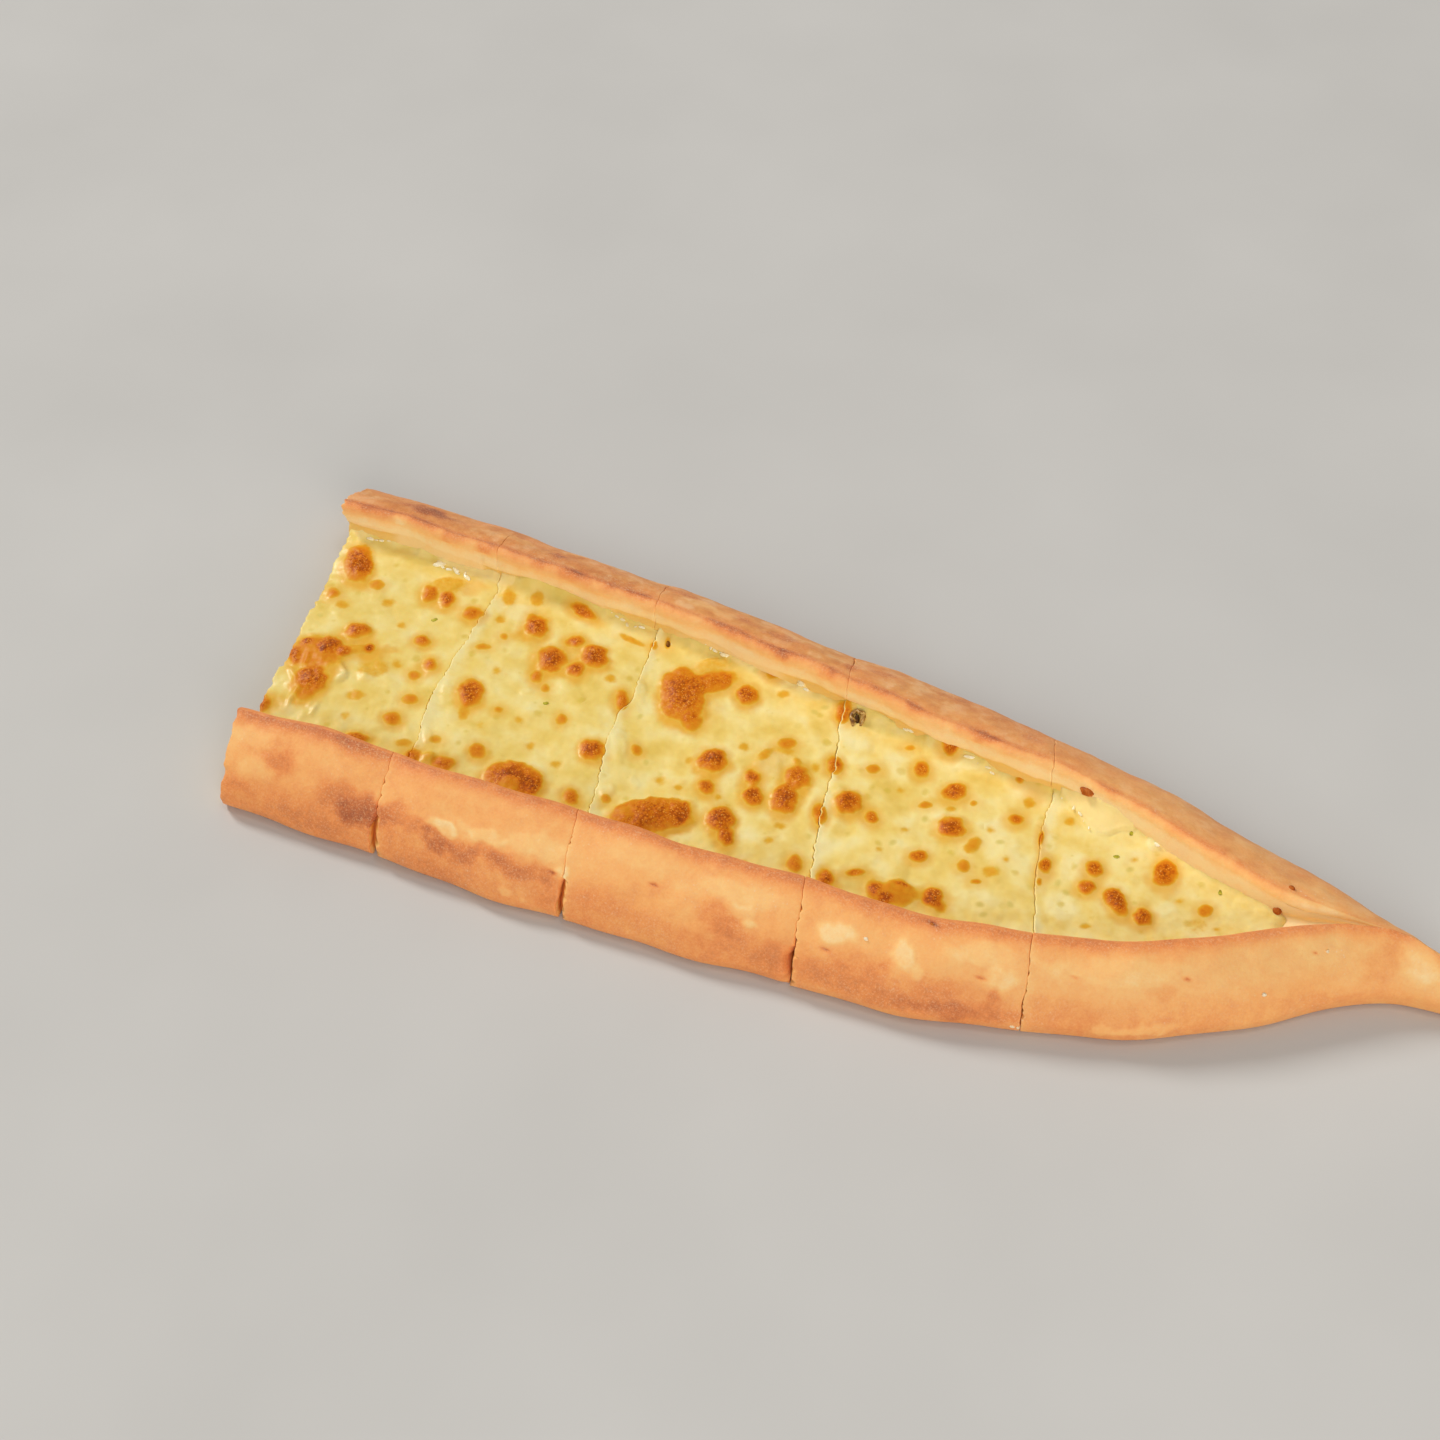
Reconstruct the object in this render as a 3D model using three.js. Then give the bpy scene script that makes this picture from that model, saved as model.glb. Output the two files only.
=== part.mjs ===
// Half of a boat-shaped cheese flatbread, cut crosswise into five slices that
// still lie together. Each slice is a trough of dough with a raised, rolled rim
// on both long sides and a layer of melted cheese that runs through it. The
// first slice has the open knife-cut end; in the last one the two rims meet,
// the front one lapping over the back one, and close in a rounded tip.
//
// Millimetres. +X runs from the cut end to the tip, +Y to the back, +Z up.
// The origin is under the middle of the half, on the surface it rests on.

import * as THREE from 'three';

// ---------------------------------------------------------------- named sizes
const TIP_X = 141.2;        // where the closed tip ends, before centring
const NOSE_LENGTH = 8;      // length over which the tip rounds off
const CENTRE_X = -0.98;     // middle of the half's box, moved to the origin
const CENTRE_Y = 2.57;

const KERF_FOOT = 1.3;      // width of a knife cut at the foot of the crust
const KERF_TOP = 0.6;       // and at the ridge of the rim
const CLEARANCE = 0.36;     // cheese to dough

const CHEESE_TOP = 9.4;     // level of the melted cheese
const CHEESE_CLIMB = 0.7;   // how far it climbs where it meets a rim
const CHEESE_LIFT = 0.45;   // lift of the edge that the knife pulled up
const CHEESE_END_X = 97.5;  // where the cheese runs out under the front rim
const CHEESE_WAVE = 0.30;   // height of its shallow waves

const RIM_POWER = 1.42;     // fullness of a rim's outer slope (1 flat, 2 round)
const WIDEST_Z = 3.0;       // height at which a rim is widest
const FOOT_INSET = 2.0;     // how far the foot curls in under the rim
const RIDGE_ROUND = 1.8;    // rounding of the ridge towards the inside
const WALL_LEAN = 1.2;      // the inner wall leans in towards the cheese
const CORNER = 2.0;         // corner between inner wall and trough floor
const RIM_WAVE = 0.45;      // shallow waves of the hand-shaped rims

const STATIONS_PER_SLICE = 7;
const STATIONS_WITH_CHEESE = 9;   // in the tip slice
const STATIONS_IN_NOSE = 11;
const SLOPE_STEPS = 7;      // points up one outer slope
const TOP_STEPS = 12;       // points across the cheese

// Knife cuts: place on the centre line and skew (change of x per mm of y).
const CUTS = [
  { x: -135.4, skew: -0.160 },
  { x: -95.8, skew: -0.126 },
  { x: -52.7, skew: -0.175 },
  { x: -1.9, skew: -0.229 },
  { x: 47.5, skew: -0.241 },
];
const SKEW_FADE = [47.5, 105];  // the skew dies out over this stretch of the tip

// The half's lines at a few stations along its length.
const STATION_X = [-145, -110, -75, -40, -5, 25, 50, 70, 85, 100, 112, 122, 132, 142];
const FRONT_EDGE = [-49.5, -47.8, -47.9, -46.6, -43.7, -41.2, -35.9, -29.6, -22.2, -13.2, -3.0, 3.0, 5.6, 6.6];
const FRONT_RIDGE = [-33.4, -31.2, -30.4, -29.0, -27.3, -25.5, -21.8, -15.4, -7.7, 2.2, 9.4, 12.6, 11.2, 9.8];
const BACK_RIDGE = [35.2, 36.8, 35.6, 34.8, 30.4, 27.8, 24.8, 20.4, 16.4, 13.8, 13.9, 14.4, 12.6, 11.0];
const BACK_EDGE = [52.4, 53.0, 51.9, 50.1, 47.7, 44.8, 40.6, 36.6, 32.8, 28.6, 23.8, 19.8, 16.0, 14.0];
const FRONT_HEIGHT = [16.0, 16.3, 16.5, 16.5, 16.5, 16.6, 16.8, 17.0, 16.9, 16.5, 15.8, 14.4, 12.0, 10.4];
const BACK_HEIGHT = [17.0, 16.8, 16.6, 16.5, 16.5, 16.5, 16.4, 16.0, 15.2, 14.0, 12.9, 12.0, 10.8, 9.8];
const FLOOR_HEIGHT = [4.8, 4.8, 4.8, 4.8, 4.8, 4.8, 4.8, 4.8, 5.2, 9.3, 11.6, 11.4, 10.3, 9.4];

// ------------------------------------------------------------- smooth lines
// A smooth curve through the station values.
function along(values, x) {
  const n = STATION_X.length;
  let i = 0;
  while (i < n - 2 && x > STATION_X[i + 1]) i++;
  const slope = (k) => {
    const a = Math.max(k - 1, 0), b = Math.min(k + 1, n - 1);
    return (values[b] - values[a]) / (STATION_X[b] - STATION_X[a]);
  };
  const h = STATION_X[i + 1] - STATION_X[i];
  const t = (x - STATION_X[i]) / h;
  const t2 = t * t, t3 = t2 * t;
  return values[i] * (2 * t3 - 3 * t2 + 1) + slope(i) * h * (t3 - 2 * t2 + t)
    + values[i + 1] * (3 * t2 - 2 * t3) + slope(i + 1) * h * (t3 - t2);
}

const wave = (x, length, phase) => Math.sin((2 * Math.PI * x) / length + phase);
const clamp01 = (v) => Math.min(Math.max(v, 0), 1);
const smooth = (v) => { const t = clamp01(v); return t * t * (3 - 2 * t); };

// Waves die out towards the tip.
const calm = (x) => 1 - smooth((x - 70) / 50);
const frontEdge = (x) => along(FRONT_EDGE, x) + RIM_WAVE * calm(x) * (wave(x, 47, 0.4) + 0.5 * wave(x, 23, 2.1));
const frontRidge = (x) => along(FRONT_RIDGE, x) + RIM_WAVE * calm(x) * (0.8 * wave(x, 53, 1.3) + 0.4 * wave(x, 19, 0.2));
const backRidge = (x) => along(BACK_RIDGE, x) + RIM_WAVE * calm(x) * (0.9 * wave(x, 61, 2.6) + 0.5 * wave(x, 21, 1.1));
const backEdge = (x) => along(BACK_EDGE, x) + RIM_WAVE * calm(x) * (wave(x, 57, 0.9) + 0.4 * wave(x, 25, 3.0));
const frontHeight = (x) => along(FRONT_HEIGHT, x) + 0.6 * RIM_WAVE * calm(x) * wave(x, 39, 0.7);
const backHeight = (x) => along(BACK_HEIGHT, x) + 0.6 * RIM_WAVE * calm(x) * wave(x, 43, 2.2);
const floorHeight = (x) => along(FLOOR_HEIGHT, x);

// The crosswise planes fan from one knife cut to the next.
function skewAt(x) {
  for (let i = 0; i < CUTS.length - 1; i++) {
    const a = CUTS[i], b = CUTS[i + 1];
    if (x <= b.x) return a.skew + (b.skew - a.skew) * ((x - a.x) / (b.x - a.x));
  }
  const last = CUTS[CUTS.length - 1].skew;
  return last * (1 - smooth((x - SKEW_FADE[0]) / (SKEW_FADE[1] - SKEW_FADE[0])));
}

// Where a long line crosses the skewed plane through (x0, 0).
function cross(line, x0, skew) {
  let y = line(x0);
  for (let k = 0; k < 8; k++) y = line(x0 + skew * y);
  return y;
}

// ----------------------------------------------------------- cross sections
// All the corner places of the section through (x0, 0).
function frameAt(x0) {
  const skew = skewAt(x0);
  const s = { x0, skew };
  s.yF = cross(frontEdge, x0, skew);
  s.yFr = cross(frontRidge, x0, skew);
  s.yBr = cross(backRidge, x0, skew);
  s.yB = cross(backEdge, x0, skew);
  s.hF = frontHeight(x0 + skew * s.yFr);
  s.hB = backHeight(x0 + skew * s.yBr);
  s.floor = floorHeight(x0);
  s.width = s.yBr - s.yFr;
  s.round = Math.min(RIDGE_ROUND, 0.18 * s.width);
  s.lean = Math.min(WALL_LEAN, 0.08 * s.width);
  s.dropF = Math.min(1.1 * s.round, 0.4 * (s.hF - s.floor));
  s.dropB = Math.min(1.1 * s.round, 0.4 * (s.hB - s.floor));
  s.corner = Math.min(CORNER, 0.12 * s.width, 0.35 * (Math.min(s.hF, s.hB) - s.floor));
  // inner walls: top, bottom, and where the floor starts
  s.wF = [s.yFr + s.round, s.hF - s.dropF, s.yFr + s.round + s.lean, s.floor + s.corner];
  s.wB = [s.yBr - s.round, s.hB - s.dropB, s.yBr - s.round - s.lean, s.floor + s.corner];
  // the tip rounds off like a nose
  const n = (x0 - (TIP_X - NOSE_LENGTH)) / NOSE_LENGTH;
  s.scale = n <= 0 ? 1 : Math.sqrt(Math.max(1 - n * n, 0.0004));
  s.mid = [0.5 * (s.yF + s.yB), 0.42 * Math.min(s.hF, s.hB)];
  return s;
}

// One rim's outer side, from the foot up to the ridge.
function outerSide(yEdge, yRidge, height, points) {
  const side = Math.sign(yRidge - yEdge);
  const widest = Math.min(WIDEST_Z + Math.max(0, 3 - 0.15 * Math.abs(yRidge - yEdge)), 0.4 * height);
  const inset = Math.min(FOOT_INSET, 0.25 * Math.abs(yRidge - yEdge));
  for (let k = 0; k < 3; k++) {
    const a = (k / 3) * (Math.PI / 2);
    points.push([yEdge + side * inset * (1 - Math.sin(a)), widest * (1 - Math.cos(a))]);
  }
  for (let k = 0; k <= SLOPE_STEPS; k++) {
    const a = (k / SLOPE_STEPS) * (Math.PI / 2);
    const c = Math.cos(a) > 1e-9 ? Math.cos(a) ** (2 / RIM_POWER) : 0;
    const q = Math.sin(a) > 1e-9 ? Math.sin(a) ** (2 / RIM_POWER) : 0;
    points.push([yRidge - (yRidge - yEdge) * c, widest + (height - widest) * q]);
  }
}

function doughSection(s) {
  const front = [], back = [], p = [];
  outerSide(s.yF, s.yFr, s.hF, front);
  outerSide(s.yB, s.yBr, s.hB, back);
  p.push(...front);
  // over the front ridge and down the inner wall
  p.push([s.yFr + 0.55 * s.round, s.hF - 0.18 * s.dropF]);
  p.push([s.wF[0], s.wF[1]]);
  p.push([s.wF[2], s.wF[3]]);
  // trough floor, a little thinner in the middle
  const f0 = s.wF[2] + s.corner, f1 = s.wB[2] - s.corner;
  p.push([f0, s.floor]);
  p.push([0.5 * (f0 + f1), s.floor - 0.004 * s.width]);
  p.push([f1, s.floor]);
  // up the back wall and over its ridge
  p.push([s.wB[2], s.wB[3]]);
  p.push([s.wB[0], s.wB[1]]);
  p.push([s.yBr - 0.55 * s.round, s.hB - 0.18 * s.dropB]);
  p.push(...back.reverse());
  // the flat underside closes the ring
  return p.map(([y, z]) => [
    s.mid[0] + (y - s.mid[0]) * s.scale,
    s.mid[1] + (z - s.mid[1]) * s.scale,
  ]);
}

// Height of the cheese; v runs 0..1 from front wall to back wall, u along a slice.
function cheeseLevel(x, y, v, u) {
  const wall = Math.exp(-((v / 0.07) ** 2)) + Math.exp(-(((1 - v) / 0.07) ** 2));
  const pulled = CHEESE_LIFT * (Math.exp(-((u / 0.07) ** 2)) - Math.exp(-(((1 - u) / 0.07) ** 2)));
  const waves = wave(x + 0.4 * y, 31, 0.8) + 0.7 * wave(x - 0.7 * y, 23, 2.4) + 0.5 * wave(y + 0.2 * x, 17, 1.0);
  return CHEESE_TOP + CHEESE_CLIMB * wall + pulled + CHEESE_WAVE * 0.5 * waves;
}

function cheeseSection(s, u) {
  const g = CLEARANCE, p = [];
  // inner face of a rim at height z: the wall, or the corner below it
  const wallY = (w, z) => (z >= w[3]
    ? w[2] + (w[0] - w[2]) * ((z - w[3]) / (w[1] - w[3]))
    : w[2] + Math.sign(w[2] - w[0]) * (w[3] - z));
  const low = s.floor + g;
  const fade = smooth((CHEESE_END_X + 1.5 - s.x0) / 14);
  const level = (y, v) => Math.max(
    CHEESE_TOP + (cheeseLevel(s.x0 + s.skew * y, y, v, u) - CHEESE_TOP) * fade, low + 0.35);
  const a = wallY(s.wF, CHEESE_TOP) + g, b = wallY(s.wB, CHEESE_TOP) - g;
  const rise = Math.min(s.corner, 0.6 * (CHEESE_TOP - low));
  p.push([s.wF[2] + s.corner + 0.6 * g, low]);
  p.push([s.wB[2] - s.corner - 0.6 * g, low]);
  p.push([wallY(s.wB, low + rise) - g, low + rise]);
  for (let k = TOP_STEPS; k >= 0; k--) {
    const v = k / TOP_STEPS, y = a + (b - a) * v;
    p.push([y, level(y, v)]);
  }
  p.push([wallY(s.wF, low + rise) + g, low + rise]);
  return p;
}

// ------------------------------------------------------------------- lofting
// Closed solid through a row of sections with the same number of points.
function loft(rings) {
  const n = rings[0].length, m = rings.length;
  const position = [], index = [];
  for (const ring of rings) for (const q of ring) position.push(q[0] - CENTRE_X, q[1] - CENTRE_Y, q[2]);
  for (let i = 0; i < m - 1; i++) {
    for (let j = 0; j < n; j++) {
      const a = i * n + j, b = i * n + ((j + 1) % n), c = a + n, d = b + n;
      index.push(a, c, b, b, c, d);
    }
  }
  // the two cut faces: triangles turned like the ring, or against it
  const cap = (ring, base, turn) => {
    const flat = ring.map((q) => new THREE.Vector2(q[1], q[2]));
    const same = THREE.ShapeUtils.area(flat) > 0;
    for (const [i, j, k] of THREE.ShapeUtils.triangulateShape(flat, [])) {
      const up = THREE.ShapeUtils.area([flat[i], flat[j], flat[k]]) > 0;
      if ((up === same) !== turn) index.push(base + i, base + j, base + k);
      else index.push(base + i, base + k, base + j);
    }
  };
  cap(rings[0], 0, false);
  cap(rings[m - 1], (m - 1) * n, true);
  // outward faces
  let volume = 0;
  for (let t = 0; t < index.length; t += 3) {
    const [i, j, k] = [index[t] * 3, index[t + 1] * 3, index[t + 2] * 3];
    volume += position[i] * (position[j + 1] * position[k + 2] - position[j + 2] * position[k + 1])
      + position[i + 1] * (position[j + 2] * position[k] - position[j] * position[k + 2])
      + position[i + 2] * (position[j] * position[k + 1] - position[j + 1] * position[k]);
  }
  if (volume < 0) for (let t = 0; t < index.length; t += 3) [index[t + 1], index[t + 2]] = [index[t + 2], index[t + 1]];
  const geometry = new THREE.BufferGeometry();
  geometry.setAttribute('position', new THREE.Float32BufferAttribute(position, 3));
  geometry.setIndex(index);
  geometry.computeVertexNormals();
  return geometry;
}

// Section points put into space; a knife cut is wider at the foot than on top.
function ringAt(s, points, u, open) {
  return points.map(([y, z]) => {
    const kerf = KERF_TOP + (KERF_FOOT - KERF_TOP) * clamp01(1 - z / 13);
    const from = 0.5 * kerf * (1 - u);
    const to = open ? 0 : -0.5 * kerf * u;
    return [s.x0 + s.skew * y + from + to, y, z];
  });
}

// ---------------------------------------------------------------- the object
const doughMaterial = () => new THREE.MeshStandardMaterial({ color: 0xe2a766, roughness: 0.75, metalness: 0 });
const cheeseMaterial = () => new THREE.MeshStandardMaterial({ color: 0xecd98c, roughness: 0.4, metalness: 0 });

const half = new THREE.Group();
half.name = 'flatbread_half';

// Stations of one slice along the centre line; in the tip slice the first
// stretch carries cheese and the rest, closer together at the nose, closes.
function stations(i) {
  const start = CUTS[i].x, xs = [];
  if (i < CUTS.length - 1) {
    for (let k = 0; k < STATIONS_PER_SLICE; k++) {
      xs.push(start + (CUTS[i + 1].x - start) * (k / (STATIONS_PER_SLICE - 1)));
    }
    return { xs, cheese: STATIONS_PER_SLICE };
  }
  for (let k = 0; k <= STATIONS_WITH_CHEESE; k++) {
    xs.push(start + (CHEESE_END_X - start) * (k / STATIONS_WITH_CHEESE));
  }
  for (let k = 1; k <= STATIONS_IN_NOSE; k++) {
    const t = k / STATIONS_IN_NOSE;
    xs.push(CHEESE_END_X + (TIP_X - CHEESE_END_X) * (0.5 * t + 0.5 * Math.sin((t * Math.PI) / 2)));
  }
  return { xs, cheese: STATIONS_WITH_CHEESE + 1 };
}

for (let i = 0; i < CUTS.length; i++) {
  const isTip = i === CUTS.length - 1;
  const { xs, cheese } = stations(i);
  const span = xs[xs.length - 1] - xs[0];
  const doughRings = [], cheeseRings = [];
  xs.forEach((x0, k) => {
    const u = (x0 - xs[0]) / span;
    const s = frameAt(x0);
    doughRings.push(ringAt(s, doughSection(s), u, isTip));
    if (k < cheese) cheeseRings.push(ringAt(s, cheeseSection(s, u), u, isTip));
  });
  const dough = new THREE.Mesh(loft(doughRings), doughMaterial());
  dough.name = `dough_slice_${i + 1}`;
  half.add(dough);
  const filling = new THREE.Mesh(loft(cheeseRings), cheeseMaterial());
  filling.name = `cheese_slice_${i + 1}`;
  half.add(filling);
}

export default half;
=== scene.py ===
import math

import bpy
import numpy as np
from mathutils import Matrix


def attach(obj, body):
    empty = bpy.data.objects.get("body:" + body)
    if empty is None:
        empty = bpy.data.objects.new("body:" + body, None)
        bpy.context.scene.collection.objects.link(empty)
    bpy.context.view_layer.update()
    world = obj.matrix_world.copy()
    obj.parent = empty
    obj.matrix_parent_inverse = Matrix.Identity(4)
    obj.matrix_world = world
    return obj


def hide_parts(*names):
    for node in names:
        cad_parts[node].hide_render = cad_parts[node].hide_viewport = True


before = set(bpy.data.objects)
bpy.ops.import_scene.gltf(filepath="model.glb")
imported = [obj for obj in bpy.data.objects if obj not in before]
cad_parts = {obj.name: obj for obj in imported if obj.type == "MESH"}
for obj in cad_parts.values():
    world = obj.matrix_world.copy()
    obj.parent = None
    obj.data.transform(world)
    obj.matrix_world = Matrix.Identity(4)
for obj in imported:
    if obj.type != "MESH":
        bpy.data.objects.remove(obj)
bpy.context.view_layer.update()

MM = 0.001

# ============================================================ lines of the half
TIP_X, NOSE = 141.2, 8.0
CENTRE = np.array([-0.98, 2.57, 0.0])
CUT_X = np.array([-135.4, -95.8, -52.7, -1.9, 47.5])
CUT_SKEW = np.array([-0.160, -0.126, -0.175, -0.229, -0.241])
CHEESE_TOP = 9.4
CHEESE_END = 101.0
SX = np.array([-145, -110, -75, -40, -5, 25, 50, 70, 85, 100, 112, 122, 132, 142], float)
FRONT_EDGE = np.array([-49.5, -47.8, -47.9, -46.6, -43.7, -41.2, -35.9, -29.6, -22.2, -13.2, -3.0, 3.0, 5.6, 6.6])
FRONT_RIDGE = np.array([-33.4, -31.2, -30.4, -29.0, -27.3, -25.5, -21.8, -15.4, -7.7, 2.2, 9.4, 12.6, 11.2, 9.8])
BACK_RIDGE = np.array([35.2, 36.8, 35.6, 34.8, 30.4, 27.8, 24.8, 20.4, 16.4, 13.8, 13.9, 14.4, 12.6, 11.0])
BACK_EDGE = np.array([52.4, 53.0, 51.9, 50.1, 47.7, 44.8, 40.6, 36.6, 32.8, 28.6, 23.8, 19.8, 16.0, 14.0])
FRONT_HEIGHT = np.array([16.0, 16.3, 16.5, 16.5, 16.5, 16.6, 16.8, 17.0, 16.9, 16.5, 15.8, 14.4, 12.0, 10.4])
BACK_HEIGHT = np.array([17.0, 16.8, 16.6, 16.5, 16.5, 16.5, 16.4, 16.0, 15.2, 14.0, 12.9, 12.0, 10.8, 9.8])
FLOOR_HEIGHT = np.array([4.8, 4.8, 4.8, 4.8, 4.8, 4.8, 4.8, 4.8, 5.2, 9.3, 11.6, 11.4, 10.3, 9.4])
RIM_WAVE = 0.45


def along(values, x):
    x = np.asarray(x, float)
    n = len(SX)
    i = np.clip(np.searchsorted(SX[1:n - 1], x, "left"), 0, n - 2)
    slope = np.empty(n)
    for k in range(n):
        a, b = max(k - 1, 0), min(k + 1, n - 1)
        slope[k] = (values[b] - values[a]) / (SX[b] - SX[a])
    h = SX[i + 1] - SX[i]
    t = (x - SX[i]) / h
    t2, t3 = t * t, t * t * t
    return (values[i] * (2 * t3 - 3 * t2 + 1) + slope[i] * h * (t3 - 2 * t2 + t)
            + values[i + 1] * (3 * t2 - 2 * t3) + slope[i + 1] * h * (t3 - t2))


def wave(x, length, phase):
    return np.sin(2 * np.pi * x / length + phase)


def smooth(v):
    t = np.clip(v, 0.0, 1.0)
    return t * t * (3 - 2 * t)


def bell(v, width):
    return np.exp(-(v / width) ** 2)


def calm(x):
    return 1 - smooth((x - 70) / 50)


def front_edge(x):
    return along(FRONT_EDGE, x) + RIM_WAVE * calm(x) * (wave(x, 47, 0.4) + 0.5 * wave(x, 23, 2.1))


def front_ridge(x):
    return along(FRONT_RIDGE, x) + RIM_WAVE * calm(x) * (0.8 * wave(x, 53, 1.3) + 0.4 * wave(x, 19, 0.2))


def back_ridge(x):
    return along(BACK_RIDGE, x) + RIM_WAVE * calm(x) * (0.9 * wave(x, 61, 2.6) + 0.5 * wave(x, 21, 1.1))


def back_edge(x):
    return along(BACK_EDGE, x) + RIM_WAVE * calm(x) * (wave(x, 57, 0.9) + 0.4 * wave(x, 25, 3.0))


def front_height(x):
    return along(FRONT_HEIGHT, x) + 0.6 * RIM_WAVE * calm(x) * wave(x, 39, 0.7)


def back_height(x):
    return along(BACK_HEIGHT, x) + 0.6 * RIM_WAVE * calm(x) * wave(x, 43, 2.2)


def skew_at(x):
    between = np.interp(x, CUT_X, CUT_SKEW)
    return np.where(x <= CUT_X[-1], between, CUT_SKEW[-1] * (1 - smooth((x - 47.5) / 57.5)))


def cross(line, x0, skew):
    y = line(x0)
    for _ in range(8):
        y = line(x0 + skew * y)
    return y


def frame_at(x0):
    """The corner places of the sections through (x0, 0)."""
    s = {"x0": x0, "skew": skew_at(x0)}
    k = s["skew"]
    s["yF"], s["yFr"] = cross(front_edge, x0, k), cross(front_ridge, x0, k)
    s["yBr"], s["yB"] = cross(back_ridge, x0, k), cross(back_edge, x0, k)
    s["hF"] = front_height(x0 + k * s["yFr"])
    s["hB"] = back_height(x0 + k * s["yBr"])
    floor = along(FLOOR_HEIGHT, x0)
    # behind the fold the slit between the two rims closes up
    low = np.minimum(s["hF"], s["hB"])
    s["floor"] = floor + (low - 0.35 - floor) * smooth((x0 - 119) / 12)
    w = s["yBr"] - s["yFr"]
    s["width"] = w
    s["round"] = np.minimum(1.8, 0.18 * w)
    s["lean"] = np.minimum(1.2, 0.08 * w)
    s["dropF"] = np.minimum(1.1 * s["round"], 0.4 * (s["hF"] - s["floor"]))
    s["dropB"] = np.minimum(1.1 * s["round"], 0.4 * (s["hB"] - s["floor"]))
    s["corner"] = np.minimum(np.minimum(2.0, 0.12 * w), 0.35 * (low - s["floor"]))
    s["wF"] = (s["yFr"] + s["round"], s["hF"] - s["dropF"], s["yFr"] + s["round"] + s["lean"], s["floor"] + s["corner"])
    s["wB"] = (s["yBr"] - s["round"], s["hB"] - s["dropB"], s["yBr"] - s["round"] - s["lean"], s["floor"] + s["corner"])
    n = (x0 - (TIP_X - NOSE)) / NOSE
    s["scale"] = np.where(n <= 0, 1.0, np.sqrt(np.maximum(1 - np.clip(n, 0, 1) ** 2, 0.0004)))
    s["mid"] = (0.5 * (s["yF"] + s["yB"]), 0.42 * low)
    return s


def wall_y(w, z):
    """Inner face of a rim at height z."""
    above = w[2] + (w[0] - w[2]) * ((z - w[3]) / (w[1] - w[3]))
    below = w[2] + np.sign(w[2] - w[0]) * (w[3] - z)
    return np.where(z >= w[3], above, below)


# ======================================================================= noise
def lattice(i, seed):
    h = (i[..., 0] * 73856093) ^ (i[..., 1] * 19349663) ^ (i[..., 2] * 83492791) ^ (seed * 40503 + 977)
    h = (h & 0xFFFFFFFF).astype(np.uint64)
    for shift, factor in ((15, 2246822519), (13, 3266489917)):
        h = ((h ^ (h >> np.uint64(shift))) * np.uint64(factor)) & np.uint64(0xFFFFFFFF)
    return h ^ (h >> np.uint64(16))


def noise(p, seed=0):
    """Smooth gradient noise, about -0.7..0.7; p in lattice units."""
    f = np.floor(p)
    i = f.astype(np.int64)
    t = p - f
    w = t * t * t * (t * (t * 6 - 15) + 10)
    total = np.zeros(p.shape[:-1])
    for dx in (0, 1):
        for dy in (0, 1):
            for dz in (0, 1):
                d = np.array([dx, dy, dz])
                h = lattice(i + d, seed)
                g = t - d
                dot = (g[..., 0] * ((h & np.uint64(1023)).astype(float) / 511.5 - 1)
                       + g[..., 1] * (((h >> np.uint64(10)) & np.uint64(1023)).astype(float) / 511.5 - 1)
                       + g[..., 2] * (((h >> np.uint64(20)) & np.uint64(1023)).astype(float) / 511.5 - 1))
                wx = w[..., 0] if dx else 1 - w[..., 0]
                wy = w[..., 1] if dy else 1 - w[..., 1]
                wz = w[..., 2] if dz else 1 - w[..., 2]
                total += dot * wx * wy * wz
    return 1.3 * total


def fbm(p, size, seed=0, octaves=2):
    """Sum of noises; size is the largest feature in mm."""
    total, gain = 0.0, 1.0
    q = p / size
    for k in range(octaves):
        total = total + gain * noise(q + 17.3 * k, seed + 31 * k)
        q, gain = q * 2.07, gain * 0.5
    return total


def curve(t, seed, size):
    """Noise along one line."""
    t = np.asarray(t, float)
    return fbm(np.stack([t, np.full_like(t, seed * 7.1), np.full_like(t, 3.3)], -1), size, seed, 2)


# =============================================================== mesh building
def make_mesh(name, verts, polys, layers, material):
    """verts in mm in the working frame; polys is a list of index arrays (n, k)."""
    me = bpy.data.meshes.new(name)
    co = (verts - CENTRE) * MM
    me.vertices.add(len(co))
    me.vertices.foreach_set("co", co.astype(np.float32).ravel())
    loops = np.concatenate([p.ravel() for p in polys]).astype(np.int32)
    sizes = np.concatenate([np.full(len(p), p.shape[1]) for p in polys])
    starts = np.concatenate([[0], np.cumsum(sizes)[:-1]]).astype(np.int32)
    me.loops.add(len(loops))
    me.loops.foreach_set("vertex_index", loops)
    me.polygons.add(len(sizes))
    me.polygons.foreach_set("loop_start", starts)
    me.update(calc_edges=True)
    me.polygons.foreach_set("use_smooth", np.ones(len(sizes), dtype=bool))
    for key, values in layers.items():
        layer = me.attributes.new(key, "FLOAT", "POINT")
        layer.data.foreach_set("value", np.asarray(values, np.float32).ravel())
    me.materials.append(material)
    ob = bpy.data.objects.new(name, me)
    bpy.context.scene.collection.objects.link(ob)
    return ob


def on_root(ob, slot, *nodes):
    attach(ob, "root")
    if nodes:
        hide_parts(*nodes)


# ============================================================= shader building
def lin(r, g, b):
    def one(c):
        c /= 255.0
        return c / 12.92 if c <= 0.04045 else ((c + 0.055) / 1.055) ** 2.4
    return (one(r), one(g), one(b), 1.0)


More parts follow.
